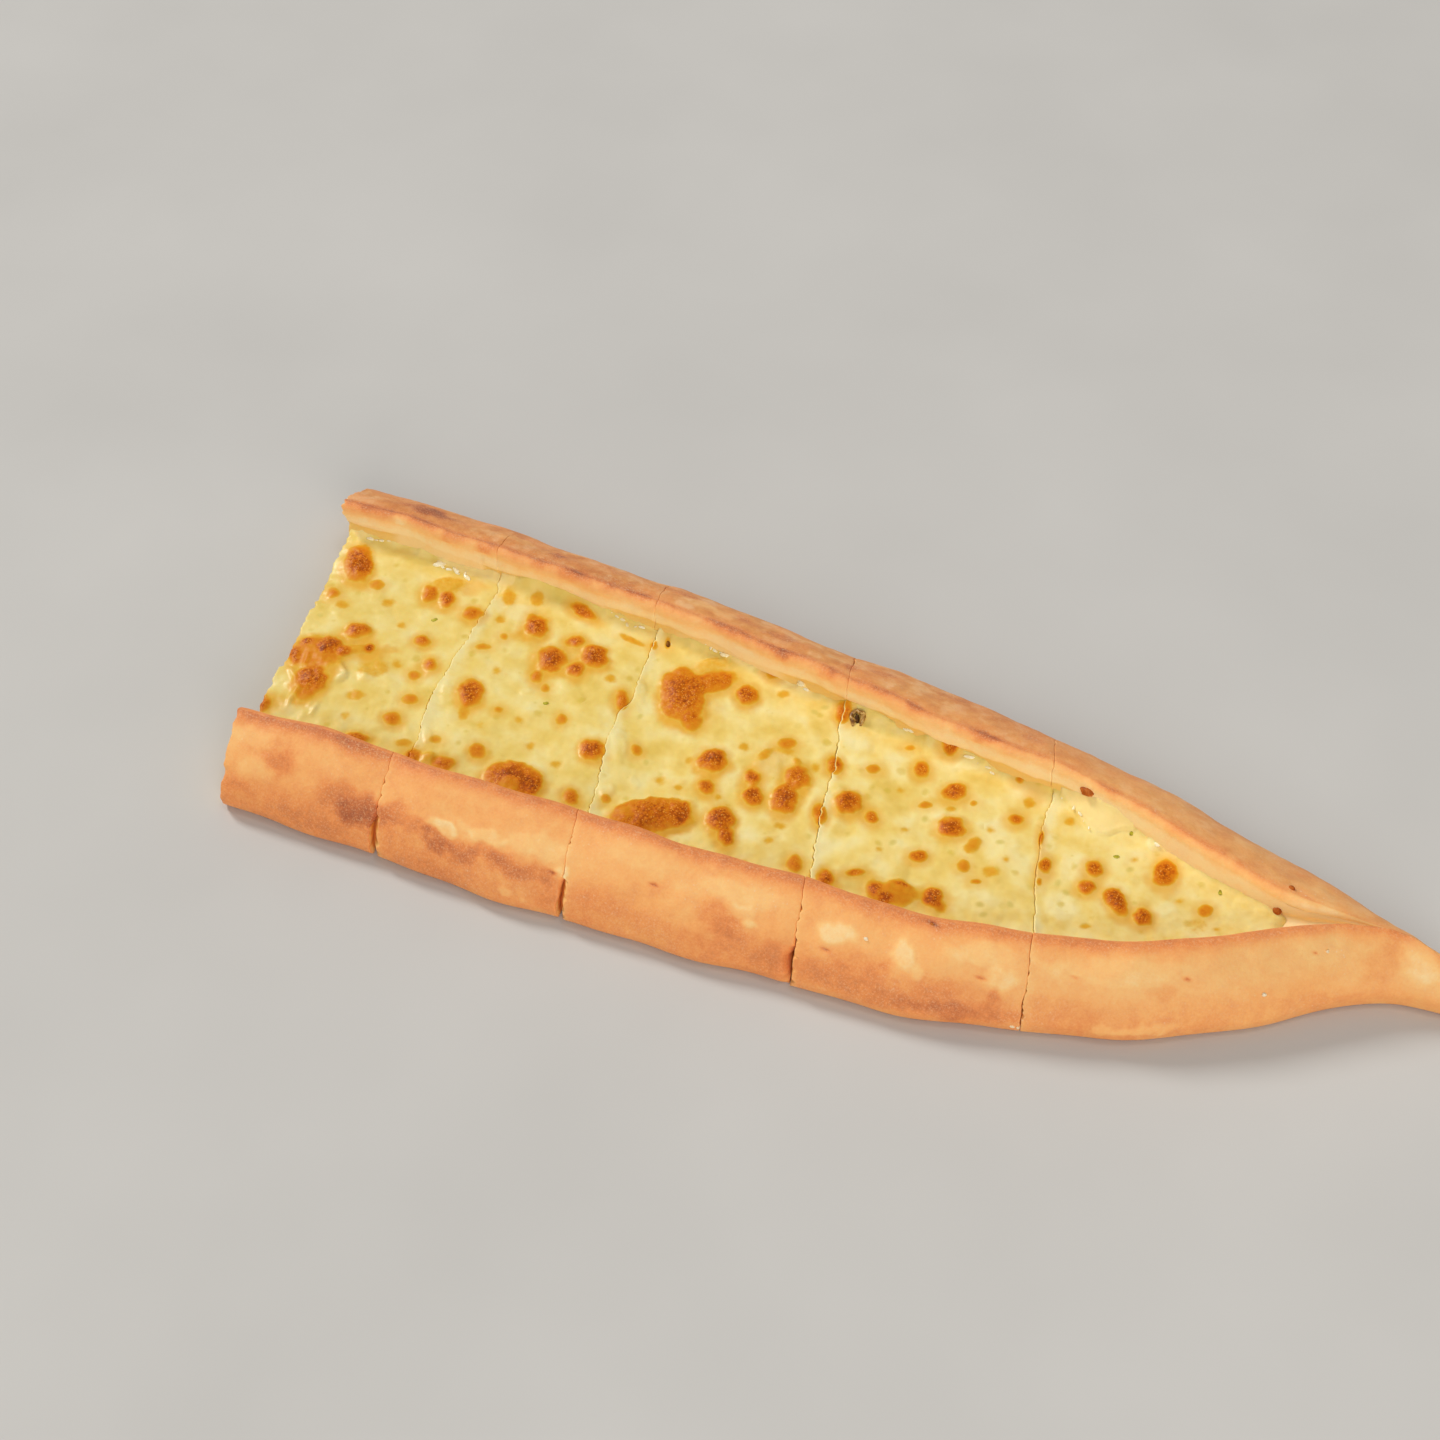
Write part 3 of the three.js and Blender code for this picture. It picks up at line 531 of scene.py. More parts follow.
# Browned blisters on the cheese: place, half lengths, turn (degrees), brown heart, orange body, dome (mm).
BLISTERS = np.array([
    # slice 1
    (-125.0, -8.5, 6.5, 5.5, 24, 0, 0.45, 0), (-111.5, -7.0, 4.0, 3.0, 24, 0, 0.28, 0),
    (-131.8, 21.5, 6.2, 3.6, -57, 0.8, 0.9, 0.8), (-129.4, 21.1, 3.1, 1.7, -58, 0.45, 0.2, 0.2),
    (-124.4, 17.0, 1.9, 1.3, 19, 0.35, 0.6, 0.2), (-132.5, 10.8, 1.8, 1.6, -22, 0.45, 0.7, 0.25),
    (-111.3, 19.6, 2.3, 1.8, -57, 0.45, 0.85, 0.8), (-106.5, 19.3, 2.4, 2.1, -44, 0.75, 0.9, 0.4),
    (-108.8, 23.6, 4.4, 3.4, 24, 0, 0.36, 0.7), (-98.9, 17.7, 2.1, 2.0, 3, 0.55, 0.8, 0.3),
    (-120.7, 1.7, 3.1, 2.5, 5, 0.65, 0.9, 0.9), (-130.1, -5.7, 1.6, 1.4, 19, 0.55, 0.8, 0.6),
    (-124.3, -4.9, 3.1, 2.7, 19, 0.55, 0.95, 1.2), (-124.6, -6.8, 1.5, 1.4, 19, 0.75, 0.2, 0.2), (-120.6, -5.3, 2.0, 1.7, 19, 0.35, 0.9, 0.8),
    (-130.2, -10.6, 2.7, 1.5, -58, 0.40, 0.85, 0.6), (-122.9, -15.6, 3.6, 3.1, -20, 0.50, 0.95, 1.1),
    (-121.4, -20.4, 2.4, 1.9, -70, 0.0, 0.80, 0.3), (-115.5, -1.9, 1.5, 1.2, -55, 0.80, 0.9, 0.4),
    (-126.4, -8.2, 6.6, 4.3, -12, 0.0, 0.72, 0.7), (-118.9, -3.9, 4.6, 1.7, 20, 0.0, 0.55, 0.7), (-123.0, -16.6, 4.6, 4.7, 0, 0.0, 0.66, 0.4),
    (-105.4, 5.5, 1.9, 1.6, 11, 0.6, 0.8, 0.3), (-100.2, -0.6, 1.9, 1.6, -51, 0.6, 0.8, 0.3),
    (-102.1, -4.8, 1.4, 1.2, 4, 0.4, 0.7, 0.15), (-99.1, -12.0, 1.8, 1.5, 12, 0.35, 0.75, 0.15),
    (-99.8, -18.7, 1.9, 1.7, -23, 0.5, 0.75, 0.2), (-111.2, -16.0, 2.1, 1.5, 17, 0, 0.5, 0),
    (-129.2, -26.8, 2.8, 2.0, -51, 0.5, 0.9, 0.3), (-104.1, -27.4, 2.5, 1.5, 21, 0.6, 0.9, 0.6),
    (-90.3, -26.7, 2.1, 1.9, -30, 0.35, 0.95, 0.3), (-86.6, -25.8, 1.9, 1.7, -18, 0.15, 0.3, 0.6),
    (-82.9, -26.3, 2.3, 2.0, 3, 0.4, 0.95, 0.3), (-94.2, -24.1, 2.0, 1.2, 21, 0, 0.6, 0),
    (-128.6, 8.2, 1.5, 1.3, -3, 0, 0.5, 0), (-119.0, 13.2, 1.5, 1.3, -2, 0, 0.45, 0),
    (-107.0, -3.5, 1.4, 1.2, 3, 0, 0.4, 0), (-110.1, -22.5, 1.3, 1.1, -37, 0, 0.4, 0),
    (-112.3, 7.9, 1.3, 1.2, -44, 0, 0.4, 0),
    # slice 2
    (-93.5, 26.1, 3.3, 1.7, -62, 0.1, 0.40, 0.3), (-86.9, 28.2, 1.9, 1.7, 14, 0.1, 0.5, 0.2),
    (-83.4, 20.4, 3.9, 2.8, -60, 0.85, 0.9, 0.7), (-88.6, 14.1, 1.0, 0.9, -37, 0.35, 0.6, 0.1),
    (-91.6, 9.3, 1.6, 1.0, 22, 0.3, 0.6, 0.1), (-92.2, 19.0, 1.4, 1.3, 5, 0.05, 0.4, 0),
    (-75.2, 28.6, 3.4, 1.4, -15, 0.6, 0.9, 0.4), (-72.7, 19.7, 2.1, 1.9, 11, 0.7, 0.85, 0.4),
    (-75.4, 12.2, 3.9, 3.6, -37, 0.9, 0.95, 0.9), (-66.3, 16.7, 3.5, 3.0, -59, 0.85, 0.9, 0.8),
    (-68.7, 11.6, 2.5, 2.1, -59, 0.75, 0.85, 0.5), (-76.1, 6.4, 1.9, 1.4, -60, 0.5, 0.75, 0.2),
    (-72.7, 3.8, 1.2, 0.9, -60, 0.35, 0.6, 0.1), (-65.0, -3.5, 1.5, 1.1, -60, 0.3, 0.7, 0.1),
    (-79.1, -6.8, 0.9, 0.9, -26, 0.5, 0.6, 0.1), (-87.4, -5.0, 4.0, 2.7, -59, 0.85, 0.9, 0.5),
    (-86.0, -10.5, 2.4, 1.4, -69, 0, 0.6, 0), (-54.4, -9.2, 3.0, 2.5, -60, 0.95, 0.85, 0.6),
    (-54.8, 7.2, 2.8, 1.6, -64, 0.55, 0.85, 0.4), (-77.6, -19.7, 2.1, 1.8, -52, 0.4, 0.85, 0.2),
    (-66.6, -23.9, 6.6, 4.8, 5, 0.85, 1, 1.2), (-66.3, -25.9, 2.7, 2.3, 14, -0.35, 0.6, 0.2),
    (-61.9, -24.0, 2.9, 2.4, -56, 0.5, 0.2, 0.3), (-52.6, -23.3, 2.1, 1.5, -35, 0.5, 0.85, 0.25),
    (-45.4, -20.6, 1.2, 1.1, -47, 0.3, 0.7, 0.1), (-61.0, 25.4, 3.3, 0.9, -10, 0, 0.65, 0),
    (-55.5, 25.7, 1.3, 0.9, -64, 0.4, 0.6, 0.1), (-87.8, -20.6, 1.4, 1.2, 9, 0.2, 0.7, 0.1),
    (-60.1, 11.9, 1.4, 1.3, 16, 0, 0.5, 0), (-73.3, -7.5, 1.2, 1.1, -46, 0, 0.4, 0),
    (-67.8, -13.3, 1.3, 1.2, 13, 0, 0.4, 0), (-85.3, 4.1, 1.3, 1.1, -48, 0, 0.4, 0),
    (-59.9, -16.2, 1.3, 1.2, 15, 0, 0.4, 0), (-80.9, -12.5, 1.2, 1.1, -43, 0, 0.35, 0),
    # slice 3
    (-42.9, 14.3, 8.4, 5.3, -65, 0.60, 1, 1.2), (-38.4, 20.4, 4.8, 3.3, 42, 0.30, 1, 0.8),
    (-35.4, 23.2, 2.2, 1.8, 40, 0.10, 0.75, 0.3), (-40.2, 25.4, 3.9, 2.6, 34, 0, 0.26, 0.8),
    (-37.5, 7.6, 2.4, 2.3, -63, 0.30, 0.9, 0.4), (-45.2, 15.7, 3.7, 2.1, -65, 0.4, 0.1, 0.2),
    (-29.5, 20.2, 2.8, 2.3, -67, 0.75, 0.9, 0.5), (-52.8, 27.7, 1.6, 0.7, -65, 0.5, 0.4, -0.3),
    (-26.3, 28.9, 1.8, 1.6, 26, 0.5, 0.8, 0.2),
    (-45.5, -5.0, 1.5, 1.1, -63, 0.4, 0.7, 0.1), (-28.5, -1.0, 3.5, 3.1, -66, 0.9, 0.95, 0.8),
    (-26.7, -8.6, 2.3, 1.8, -65, 0.6, 0.9, 0.3), (-18.6, -1.9, 2.3, 1.8, -67, 0.7, 0.9, 0.4),
    (-16.5, -6.7, 2.9, 2.0, -67, 0.85, 0.9, 0.5), (-23.7, 5.7, 1.3, 1.2, 25, 0, 0.5, 0),
    (-9.6, -4.5, 4.2, 2.9, -76, 0.9, 0.9, 0.9), (-9.5, 2.0, 3.2, 2.6, -70, 0.65, 0.9, 0.8),
    (-18.6, 5.3, 2.5, 1.3, 67, 0.1, 0.6, 0.2), (-15.5, 10.6, 2.0, 1.5, 25, 0.4, 0.75, 0.2), (-14.9, 8.3, 2.2, 0.9, 10, 0, 0.5, 0.3), (-11.2, 6.2, 1.6, 1.0, -50, 0.05, 0.6, 0.3),
    (-0.6, -20.3, 2.2, 1.7, -69, 0.35, 0.95, 0.2), (-20.2, -15.7, 3.4, 2.8, -66, 0.95, 0.95, 0.8),
    (-17.1, -19.6, 2.5, 1.7, -66, 0.8, 0.9, 0.4), (-34.5, -21.1, 8.7, 4.8, 33, 0.58, 1, 1.5),
    (-28.1, -18.4, 3.4, 2.6, -65, 0.6, 0.3, 0.5), (-39.1, -22.7, 2.2, 2.0, 17, -0.2, 0.4, 0.5),
    (-3.2, 8.9, 2.4, 1.6, -69, 0.6, 0.85, 0.3), (-0.9, -5.6, 2.8, 1.3, -68, 0.55, 0.85, 0.3),
    (-7.3, 23.7, 2.7, 1.6, -69, 0.6, 0.85, 0.3), (-22.0, 24.1, 1.4, 1.2, 29, 0, 0.5, 0),
    (-7.0, 6.4, 1.3, 1.2, 29, 0, 0.5, 0), (-33.3, -2.8, 1.2, 1.1, -62, 0, 0.4, 0),
    (-36.9, -10.8, 1.3, 1.2, 21, 0, 0.4, 0), (-8.2, -16.7, 1.3, 1.1, 26, 0, 0.4, 0),
    (-7.6, -12.1, 1.3, 1.1, 27, 0, 0.4, 0), (-32.3, -11.3, 0.9, 0.9, 6, 0.15, 0.5, 0),
    (-23.2, -10.1, 0.9, 0.7, -66, 0.15, 0.5, 0), (-10.8, -25.4, 1.5, 1.4, 26, 0, 0.6, 0),
    # slice 4
    (3.8, -0.3, 3.2, 2.8, -77, 0.85, 0.9, 0.7), (9.8, -1.8, 2.0, 1.5, -72, 0.6, 0.85, 0.3),
    (5.1, 11.3, 1.6, 1.2, 27, 0.35, 0.7, 0.15), (14.9, 15.6, 2.4, 1.8, -73, 0.6, 0.85, 0.3),
    (10.1, 20.7, 1.1, 0.9, 29, 0.3, 0.6, 0.1), (18.7, 23.7, 2.1, 2.0, 82, 0.7, 0.9, 0.4),
    (23.7, 12.2, 2.7, 2.3, 35, 0.75, 0.9, 0.4), (19.0, 6.5, 1.5, 0.9, 25, 0.3, 0.7, 0.1),
    (28.8, 10.8, 0.9, 0.8, 59, 0.3, 0.6, 0.1), (24.7, 7.5, 1.5, 0.9, 26, 0.1, 0.5, 0),
    (26.6, 2.4, 3.1, 2.8, 42, 0.85, 0.95, 0.7), (32.4, -0.3, 2.4, 1.7, 79, 0.05, 0.75, 0.3),
    (22.8, -7.9, 1.9, 1.6, 32, 0.6, 0.85, 0.3), (32.6, -6.5, 1.7, 1.5, -86, 0.28, 0.75, 0.2),
    (36.6, -9.4, 1.1, 0.8, 30, 0.3, 0.8, 0.1), (38.7, 10.5, 1.8, 1.6, 59, 0.5, 0.85, 0.2),
    (39.8, 16.4, 1.7, 1.5, -87, 0.1, 0.55, 0), (35.7, 21.5, 1.2, 1.1, 83, 0.5, 0.6, 0.1),
    (12.2, -17.6, 2.1, 1.1, 25, 0.45, 0.9, 0.15), (7.1, -22.1, 2.5, 2.1, -60, 0.65, 0.95, 0.4),
    (21.6, -19.4, 5.9, 3.8, 18, 0.12, 0.85, 1), (17.2, -19.9, 2.2, 1.9, -77, 0.5, 0.5, 0.4),
    (20.6, -21.6, 1.9, 1.6, 6, 0.6, 0.5, 0.2), (22.7, -16.5, 2.1, 0.8, 11, 0.4, 0.4, 0.1),
    (29.5, -17.1, 2.5, 2.4, -2, 0.9, 0.95, 0.5), (31.8, -18.3, 1.9, 1.6, -59, 0.2, 0.8, 0),
    (48.6, 0.8, 2.2, 1.5, -76, 0.75, 0.9, 0.4), (45.4, 7.7, 2.0, 0.6, -72, 0.5, 0.8, 0.2),
    (48.9, -3.9, 1.1, 0.6, -74, 0.5, 0.5, 0.1), (12.6, 8.0, 1.3, 1.1, 33, 0, 0.4, 0),
    (17.7, -2.1, 1.3, 1.1, 32, 0, 0.4, 0), (34.5, 5.4, 1.1, 1.1, 80, 0, 0.4, 0),
    (38.4, -5.6, 2.1, 1.6, 30, 0, 0.45, 0), (14.7, -9.5, 1.1, 1.1, 83, 0, 0.4, 0),
    (40.3, -1.2, 1.1, 1.0, 76, 0, 0.4, 0),
    # slice 5
    (58.5, 4.0, 2.3, 2.0, 73, 0.75, 0.9, 0.5), (58.7, -1.2, 2.0, 1.8, 63, 0.75, 0.9, 0.4),
    (65.7, -2.6, 3.8, 2.2, -42, 0.9, 0.95, 0.7), (71.9, -4.1, 2.4, 1.9, -83, 0.75, 0.95, 0.5),
    (72.7, 9.1, 3.9, 2.7, -80, 0.75, 0.95, 0.6), (83.4, 3.2, 1.7, 1.4, 84, 0.30, 0.80, 0.2),
    (83.1, -1.5, 3.0, 2.5, 46, 0, 0.20, 0), (87.0, -0.6, 1.3, 0.8, 29, 0.05, 0.35, 0),
    (49.6, 14.8, 1.4, 1.3, 86, 0.05, 0.55, 0), (61.5, -11.1, 1.3, 0.8, 28, 0, 0.6, 0),
    (65.6, 10.1, 1.2, 1.0, 73, 0, 0.4, 0), (77.7, 3.6, 1.1, 1.0, 69, 0, 0.4, 0),
])

# Pale swellings of the filling: place, half lengths, turn, strength, dome (mm).
SWELLINGS = np.array([
    (-88.9, 22.8, 4.7, 3.9, 24, 0.80, 0.35), (-94.0, 23.2, 3.2, 3.4, 24, 0.80, 0.20), (-76.4, 1.0, 1.8, 1.9, 24, 0.45, 0.20), (-73.5, 26.1, 2.3, 2.0, 24, 0.50, 0.20),
    (-90.0, -20.1, 1.6, 3.6, 24, 0.60, 0.30), (-92.7, -6.2, 1.4, 4.3, 24, 0.40, 0.20), (-52.4, 11.7, 1.8, 4.3, 24, 0.50, 0.30),
    (-49.4, -5.3, 2.0, 5.9, 24, 0.50, 0.30), (-41.9, -13.2, 1.1, 3.5, 24, 0.50, 0.20), (-46.7, -18.5, 2.0, 2.6, 24, 0.60, 0.30),
    (-16.4, 2.9, 4.0, 5.3, 24, 0.60, 0.40), (-18.2, 30.4, 4.6, 3.7, 24, 0.70, 0.50), (-1.9, 17.5, 4.5, 5.9, 24, 0.55, 0.35),
    (1.2, -0.3, 1.8, 7.1, 24, 0.50, 0.30), (14.8, 24.0, 3.4, 3.0, 24, 0.60, 0.40), (24.2, 21.0, 3.3, 2.3, 24, 0.50, 0.30),
    (38.4, 0.8, 5.4, 6.9, 24, 0.40, 0.20), (54.5, 3.5, 4.3, 4.9, 24, 0.35, 0.20), (55.0, -8.1, 3.8, 4.8, 24, 0.40, 0.20),
    (75.6, -0.4, 3.2, 2.7, 24, 0.35, 0.20), (68.5, 15.7, 2.2, 1.9, 24, 0.80, 0.60), (76.4, 15.3, 1.5, 1.4, 24, 0.70, 0.40),
    (-119.3, -11.9, 3.2, 3.2, 24, 0.60, 0.40), (-112.1, -9.7, 2.8, 2.5, 24, 0.50, 0.30),
])

# Broad golden places, browned skin or pooled fat: place, half lengths, turn, strength.
GLOWS = np.array([
    (-125.0, -9.6, 8.6, 8.4, 24, 0.95), (-121.6, -18.6, 4.4, 5.6, 24, 0.85), (-113.6, -4.2, 4.6, 3.6, 24, 0.75), (-110.8, -0.4, 4.0, 1.7, 20, 0.55),
    (-126.5, -24.6, 4.6, 2.8, -20, 0.45), (-84.4, 16.4, 3.4, 3.0, 24, 0.70), (-104.0, 25.6, 5.0, 3.2, 0, 0.55), (-41.0, 23.7, 4.0, 3.4, 24, 0.60),
    (-120.0, -13.4, 2.8, 4.6, 24, 0.80), (-121.6, -21.8, 2.8, 3.8, 24, 0.90), (-111.5, -6.6, 3.6, 2.8, 24, 0.55), (-71.4, 12.6, 6.0, 5.0, 24, 0.35),
    (71.6, 13.0, 4.4, 3.8, 24, 0.40),
    (40.2, 18.8, 3.4, 4.0, 24, 0.50), (-16.0, 3.5, 4.6, 5.6, 24, 0.30), (-36.0, 12.0, 5.0, 6.0, 24, 0.30),
])

# Wrinkles of the skin at the open end, each with a painted highlight along it: from, to (mm), height.
WRINKLES = np.array([
    (-129.2, -14.6, -124.5, -19.6, 0.45), (-124.5, -19.6, -123.3, -24.4, 0.45), (-127.5, -9.2, -125.9, -12.8, 0.45), (-119.3, -8.6, -116.8, -11.8, 0.50),
    (-116.8, -11.8, -117.3, -13.4, 0.45), (-113.0, -9.2, -111.5, -10.5, 0.40), (-117.8, -21.6, -117.6, -25.2, 0.45), (-119.6, -21.4, -118.8, -23.4, 0.35),
])

# Painted shadow under the back lip, olive where the filling thins out there: place, half lengths, turn, strength.
LIP_SHADOWS = np.array([(-119.0, 28.4, 5.5, 1.7, 13, 0.8), (-79.5, 30.6, 9.0, 2.2, 2, 1.0), (2.3, 22.9, 5.5, 1.5, 0, 0.8)])

# A pale lobe that hangs from the back wall of the tip slice: its front outline.
LOBE = np.array([(44.1, 21.5), (46.8, 19.5), (50.8, 16.4), (54.9, 13.7), (57.4, 13.0), (58.9, 15.3), (61.3, 16.9), (63.7, 17.7)])

# How far the filling climbs the back wall: place along x, mm above its level.
CLIMB = np.array([
    (-136, 0.8), (-126, 0.6), (-119, 0.7), (-114, 0.5), (-105, 0.4), (-99, 0.8), (-95, 1.6), (-90, 3.8), (-82, 3.2), (-75, 1.7), (-69, 0.9),
    (-61, 0.4), (-55, 0.7), (-48, 1.2), (-40, 0.7), (-26, 0.5), (-16, 0.4), (-10, 0.5), (-5, 2.2), (-3.7, 2.6), (0.9, 1.8), (6.2, 0.8),
    (13.6, 1.6), (21, 1.6), (27.6, 0.7), (33, 0.5), (39, 0.8), (44, 1.2), (64, 1.3), (70, 0.5), (79, 0.6), (87, 0.6), (93, 0.0)])
# How far the cream foot of the back wall reaches out over the filling: place along x, mm.
FOOT = np.array([
    (-136, 0.9), (-126, 0.6), (-119, 0.5), (-114, 1.6), (-105, 2.3), (-97, 2.3), (-94, 0.6), (-75, 0.4), (-69, 0.5), (-61, 1.1), (-55, 0.5),
    (-48, 0.5), (-40, 0.9), (-26, 1.1), (-16, 1.6), (-10, 0.6), (-4, 0.4), (21, 0.5), (27.6, 0.8), (39, 0.5), (64, 0.5), (70, 1.1), (79, 0.7), (93, 0.5)])

# Where the knife wandered from its line: mm of x, from the back wall to the front wall.
CUT_DRIFT = [
    [0.4, 0.3, 0.0, 0.7, 1.0, 0.5, 0.7, 1.1, 0.4, 0.6, 0.9, 0.9],
    [0.7, 1.6, 1.4, 0.7, 0.2, -0.4, -0.8, -1.2, -0.8, 0.3, 0.7, 1.0],
    [0.9, 0.8, 0.7, 0.4, 0.8, -1.3, -1.3, -0.9, -0.5, 0.1, 0.4, 0.9],
    [-0.3, -0.5, 0.0, 0.3, 0.1, -0.2, -0.4, -0.5, -0.1, 0.0, 0.2, -0.1],
    [0.5, 0.6, 0.1, -0.7, -0.9, -0.6, -0.8, -0.6, -0.3, 0.1, 0.2, 0.0],
]

# Melted fat along the foot of the back wall, near-white so that it also stands in for painted glints: from, to (mm),
# how many beads, their half width.
FAT = np.array([
    (-134.5, 29.7, 10.2, -127.2, 31.4, 10.2, 4, 0.36), (-114.6, 29.6, 9.9, -112.0, 29.2, 9.8, 3, 0.60), (-111.0, 29.2, 9.8, -105.3, 28.8, 9.8, 5, 0.45),
    (-69.7, 30.6, 9.9, -59.5, 29.4, 9.6, 6, 0.30), (-44.3, 29.8, 10.6, -38.3, 29.4, 10.2, 5, 0.42), (-19.7, 28.0, 11.9, -17.3, 27.0, 9.9, 4, 0.42),
    (7.6, 24.4, 10.9, 8.6, 24.3, 10.8, 2, 0.40), (22.3, 22.8, 10.2, 30.0, 20.9, 10.0, 5, 0.34), (68.4, 15.7, 10.0, 69.6, 15.4, 10.0, 2, 0.55),
    (76.4, 13.8, 11.2, 78.0, 13.4, 11.0, 3, 0.40), (45.0, 20.9, 10.2, 54.6, 13.9, 9.8, 6, 0.26),
])

# Flecks of herb in the filling: place, and how green (1) or olive (0) they are.
FLECKS = np.array([
    (-106.2, 12.5, 1.0), (-70.5, -0.5, 0.7), (63.0, 16.6, 0.8), (85.0, 9.2, 1.0), (61.8, 9.3, 0.7), (37.7, 2.8, 0.5), (65.6, 7.1, 0.6),
    (52.6, -2.3, 0.1), (55.0, -4.1, 0.1), (39.5, -14.9, 0.2), (41.0, -17.1, 0.1), (-49.1, 4.7, 0.1), (-42.0, -7.2, 0.1), (-13.4, 21.8, 0.0),
    (-11.8, 24.0, 0.0), (16.6, -6.6, 0.2), (20.4, 2.9, 0.2), (45.3, -12.1, 0.1), (-131.6, 3.1, 0.4), (61.4, -11.0, 0.1),
])


# ======================================================================= dough
N_SLOPE, N_FOOT, N_ROUND, N_WALL, N_CORNER, N_FLAT = 56, 10, 14, 40, 12, 36
N_SIDE = N_SLOPE + N_FOOT
N_PATH = 2 * N_SIDE + N_FLAT          # steps from ridge to ridge, outside or inside
N_RING = 2 * N_PATH
CAP_STEPS = 14


def even(y, z, n, power=1.0):
    """n + 1 points along each row's curve, even or (power > 1) closer together at its start."""
    d = np.hypot(np.diff(y, axis=1), np.diff(z, axis=1))
    c = np.concatenate([np.zeros((len(y), 1)), np.cumsum(d, axis=1)], axis=1)
    t = np.linspace(0, 1, n + 1) ** power
    oy, oz = np.empty((len(y), n + 1)), np.empty((len(y), n + 1))
    for k in range(len(y)):
        oy[k] = np.interp(t * c[k, -1], c[k], y[k])
        oz[k] = np.interp(t * c[k, -1], c[k], z[k])
    return oy, oz


def dough_rings(x0):
    s = frame_at(x0)
    col = lambda v: np.asarray(v)[:, None]
    a = np.linspace(0, np.pi / 2, 140)[None, :]

    def outer(edge, ridge, height, going_down, power):
        side = np.sign(ridge - edge)
        reach = np.abs(ridge - edge)
        widest = np.minimum(3.0 + np.maximum(0, 3 - 0.15 * reach), 0.4 * height)
        inset = np.minimum(2.0, 0.25 * reach)
        c, q = np.cos(a) ** (2 / 1.42), np.sin(a) ** (2 / 1.42)
        sy, sz = even((col(ridge) - col(ridge - edge) * c)[:, ::-1], (col(widest) + col(height - widest) * q)[:, ::-1], N_SLOPE, power)
        fy, fz = even((col(edge) + col(side * inset) * (1 - np.sin(a)))[:, ::-1], (col(widest) * (1 - np.cos(a)))[:, ::-1], N_FOOT)
        y, z = np.concatenate([sy, fy[:, 1:]], 1), np.concatenate([sz, fz[:, 1:]], 1)
        return (y, z) if going_down else (y[:, ::-1], z[:, ::-1])

    def inner(ridge, height, rnd, drop, w, corner, floor, way, going_down):
        ry, rz = even(col(ridge) + way * col(rnd) * np.sin(a), col(height) - col(drop) * (1 - np.cos(a)), N_ROUND)
        t = np.linspace(0, 1, 60)[None, :]
        # the wall swells a little below the lip
        belly = 0.25 * np.sin(np.pi * t) * way
        wy, wz = even(col(w[0]) + (col(w[2]) - col(w[0])) * t + belly * np.minimum(1, col(w[1] - w[3]) / 6),
                      col(w[1]) + (col(w[3]) - col(w[1])) * t, N_WALL)
        cy, cz = even(col(w[2]) + way * col(corner) * (1 - np.cos(a)), col(w[3]) - col(corner) * np.sin(a), N_CORNER)
        y = np.concatenate([ry, wy[:, 1:], cy[:, 1:]], 1)
        z = np.concatenate([rz, wz[:, 1:], cz[:, 1:]], 1)
        return (y, z) if going_down else (y[:, ::-1], z[:, ::-1])

    fy, fz = outer(s["yF"], s["yFr"], s["hF"], True, 1.0)
    by, bz = outer(s["yB"], s["yBr"], s["hB"], False, 1.5)
    t = np.linspace(0, 1, N_FLAT + 1)[None, 1:]
    uy = fy[:, -1:] + (by[:, :1] - fy[:, -1:]) * t
    iby, ibz = inner(s["yBr"], s["hB"], s["round"], s["dropB"], s["wB"], s["corner"], s["floor"], -1.0, True)
    ify, ifz = inner(s["yFr"], s["hF"], s["round"], s["dropF"], s["wF"], s["corner"], s["floor"], 1.0, False)
    ly = iby[:, -1:] + (ify[:, :1] - iby[:, -1:]) * t
    lz = ibz[:, -1:] + (ifz[:, :1] - ibz[:, -1:]) * t - 0.016 * col(s["width"]) * t * (1 - t)
    y = np.concatenate([fy, uy, by[:, 1:], iby[:, 1:], ly, ify[:, 1:-1]], 1)
    z = np.concatenate([fz, np.zeros_like(uy), bz[:, 1:], ibz[:, 1:], lz, ifz[:, 1:-1]], 1)
    y = col(s["mid"][0]) + (y - col(s["mid"][0])) * col(s["scale"])
    z = col(s["mid"][1]) + (z - col(s["mid"][1])) * col(s["scale"])
    return s, y, z


def spread(start, end, pitch, fine_start, fine_end):
    """Places along a slice, close together next to a cut."""
    near = np.array([0.0, 0.10, 0.24, 0.42, 0.66, 0.96])
    a = start + near if fine_start else np.array([start])
    b = end - near[::-1] if fine_end else np.array([end])
    n = max(int(round((b[0] - a[-1]) / pitch)), 2)
    return np.concatenate([a, np.linspace(a[-1], b[0], n + 1)[1:-1], b])


def cut_drift(c, v):
    """v runs from 0 at the front wall to 1 at the back wall."""
    return np.interp(1 - v, np.linspace(0, 1, 12), CUT_DRIFT[c])


def dough_rag(c, y, z):
    """How the cut edge of the crust wanders, the same on both sides of a cut."""
    p = np.stack([np.full_like(y, 11.0 * c), y, 1.3 * z], -1)
    r = 0.42 * fbm(p, 6.0, 40 + c, 2) + 0.20 * fbm(p, 1.7, 50 + c, 2)
    if c == 0:
        # torn lip at the open end of the back rim
        lip = bell(y - 36.0, 3.2) * smooth((z - 12.5) / 3.0)
        r = r + 0.5 * fbm(p, 3.0, 61, 3) * smooth((z - 3) / 6) - lip * (1.3 + 1.6 * fbm(p, 1.4, 60, 2))
    return r


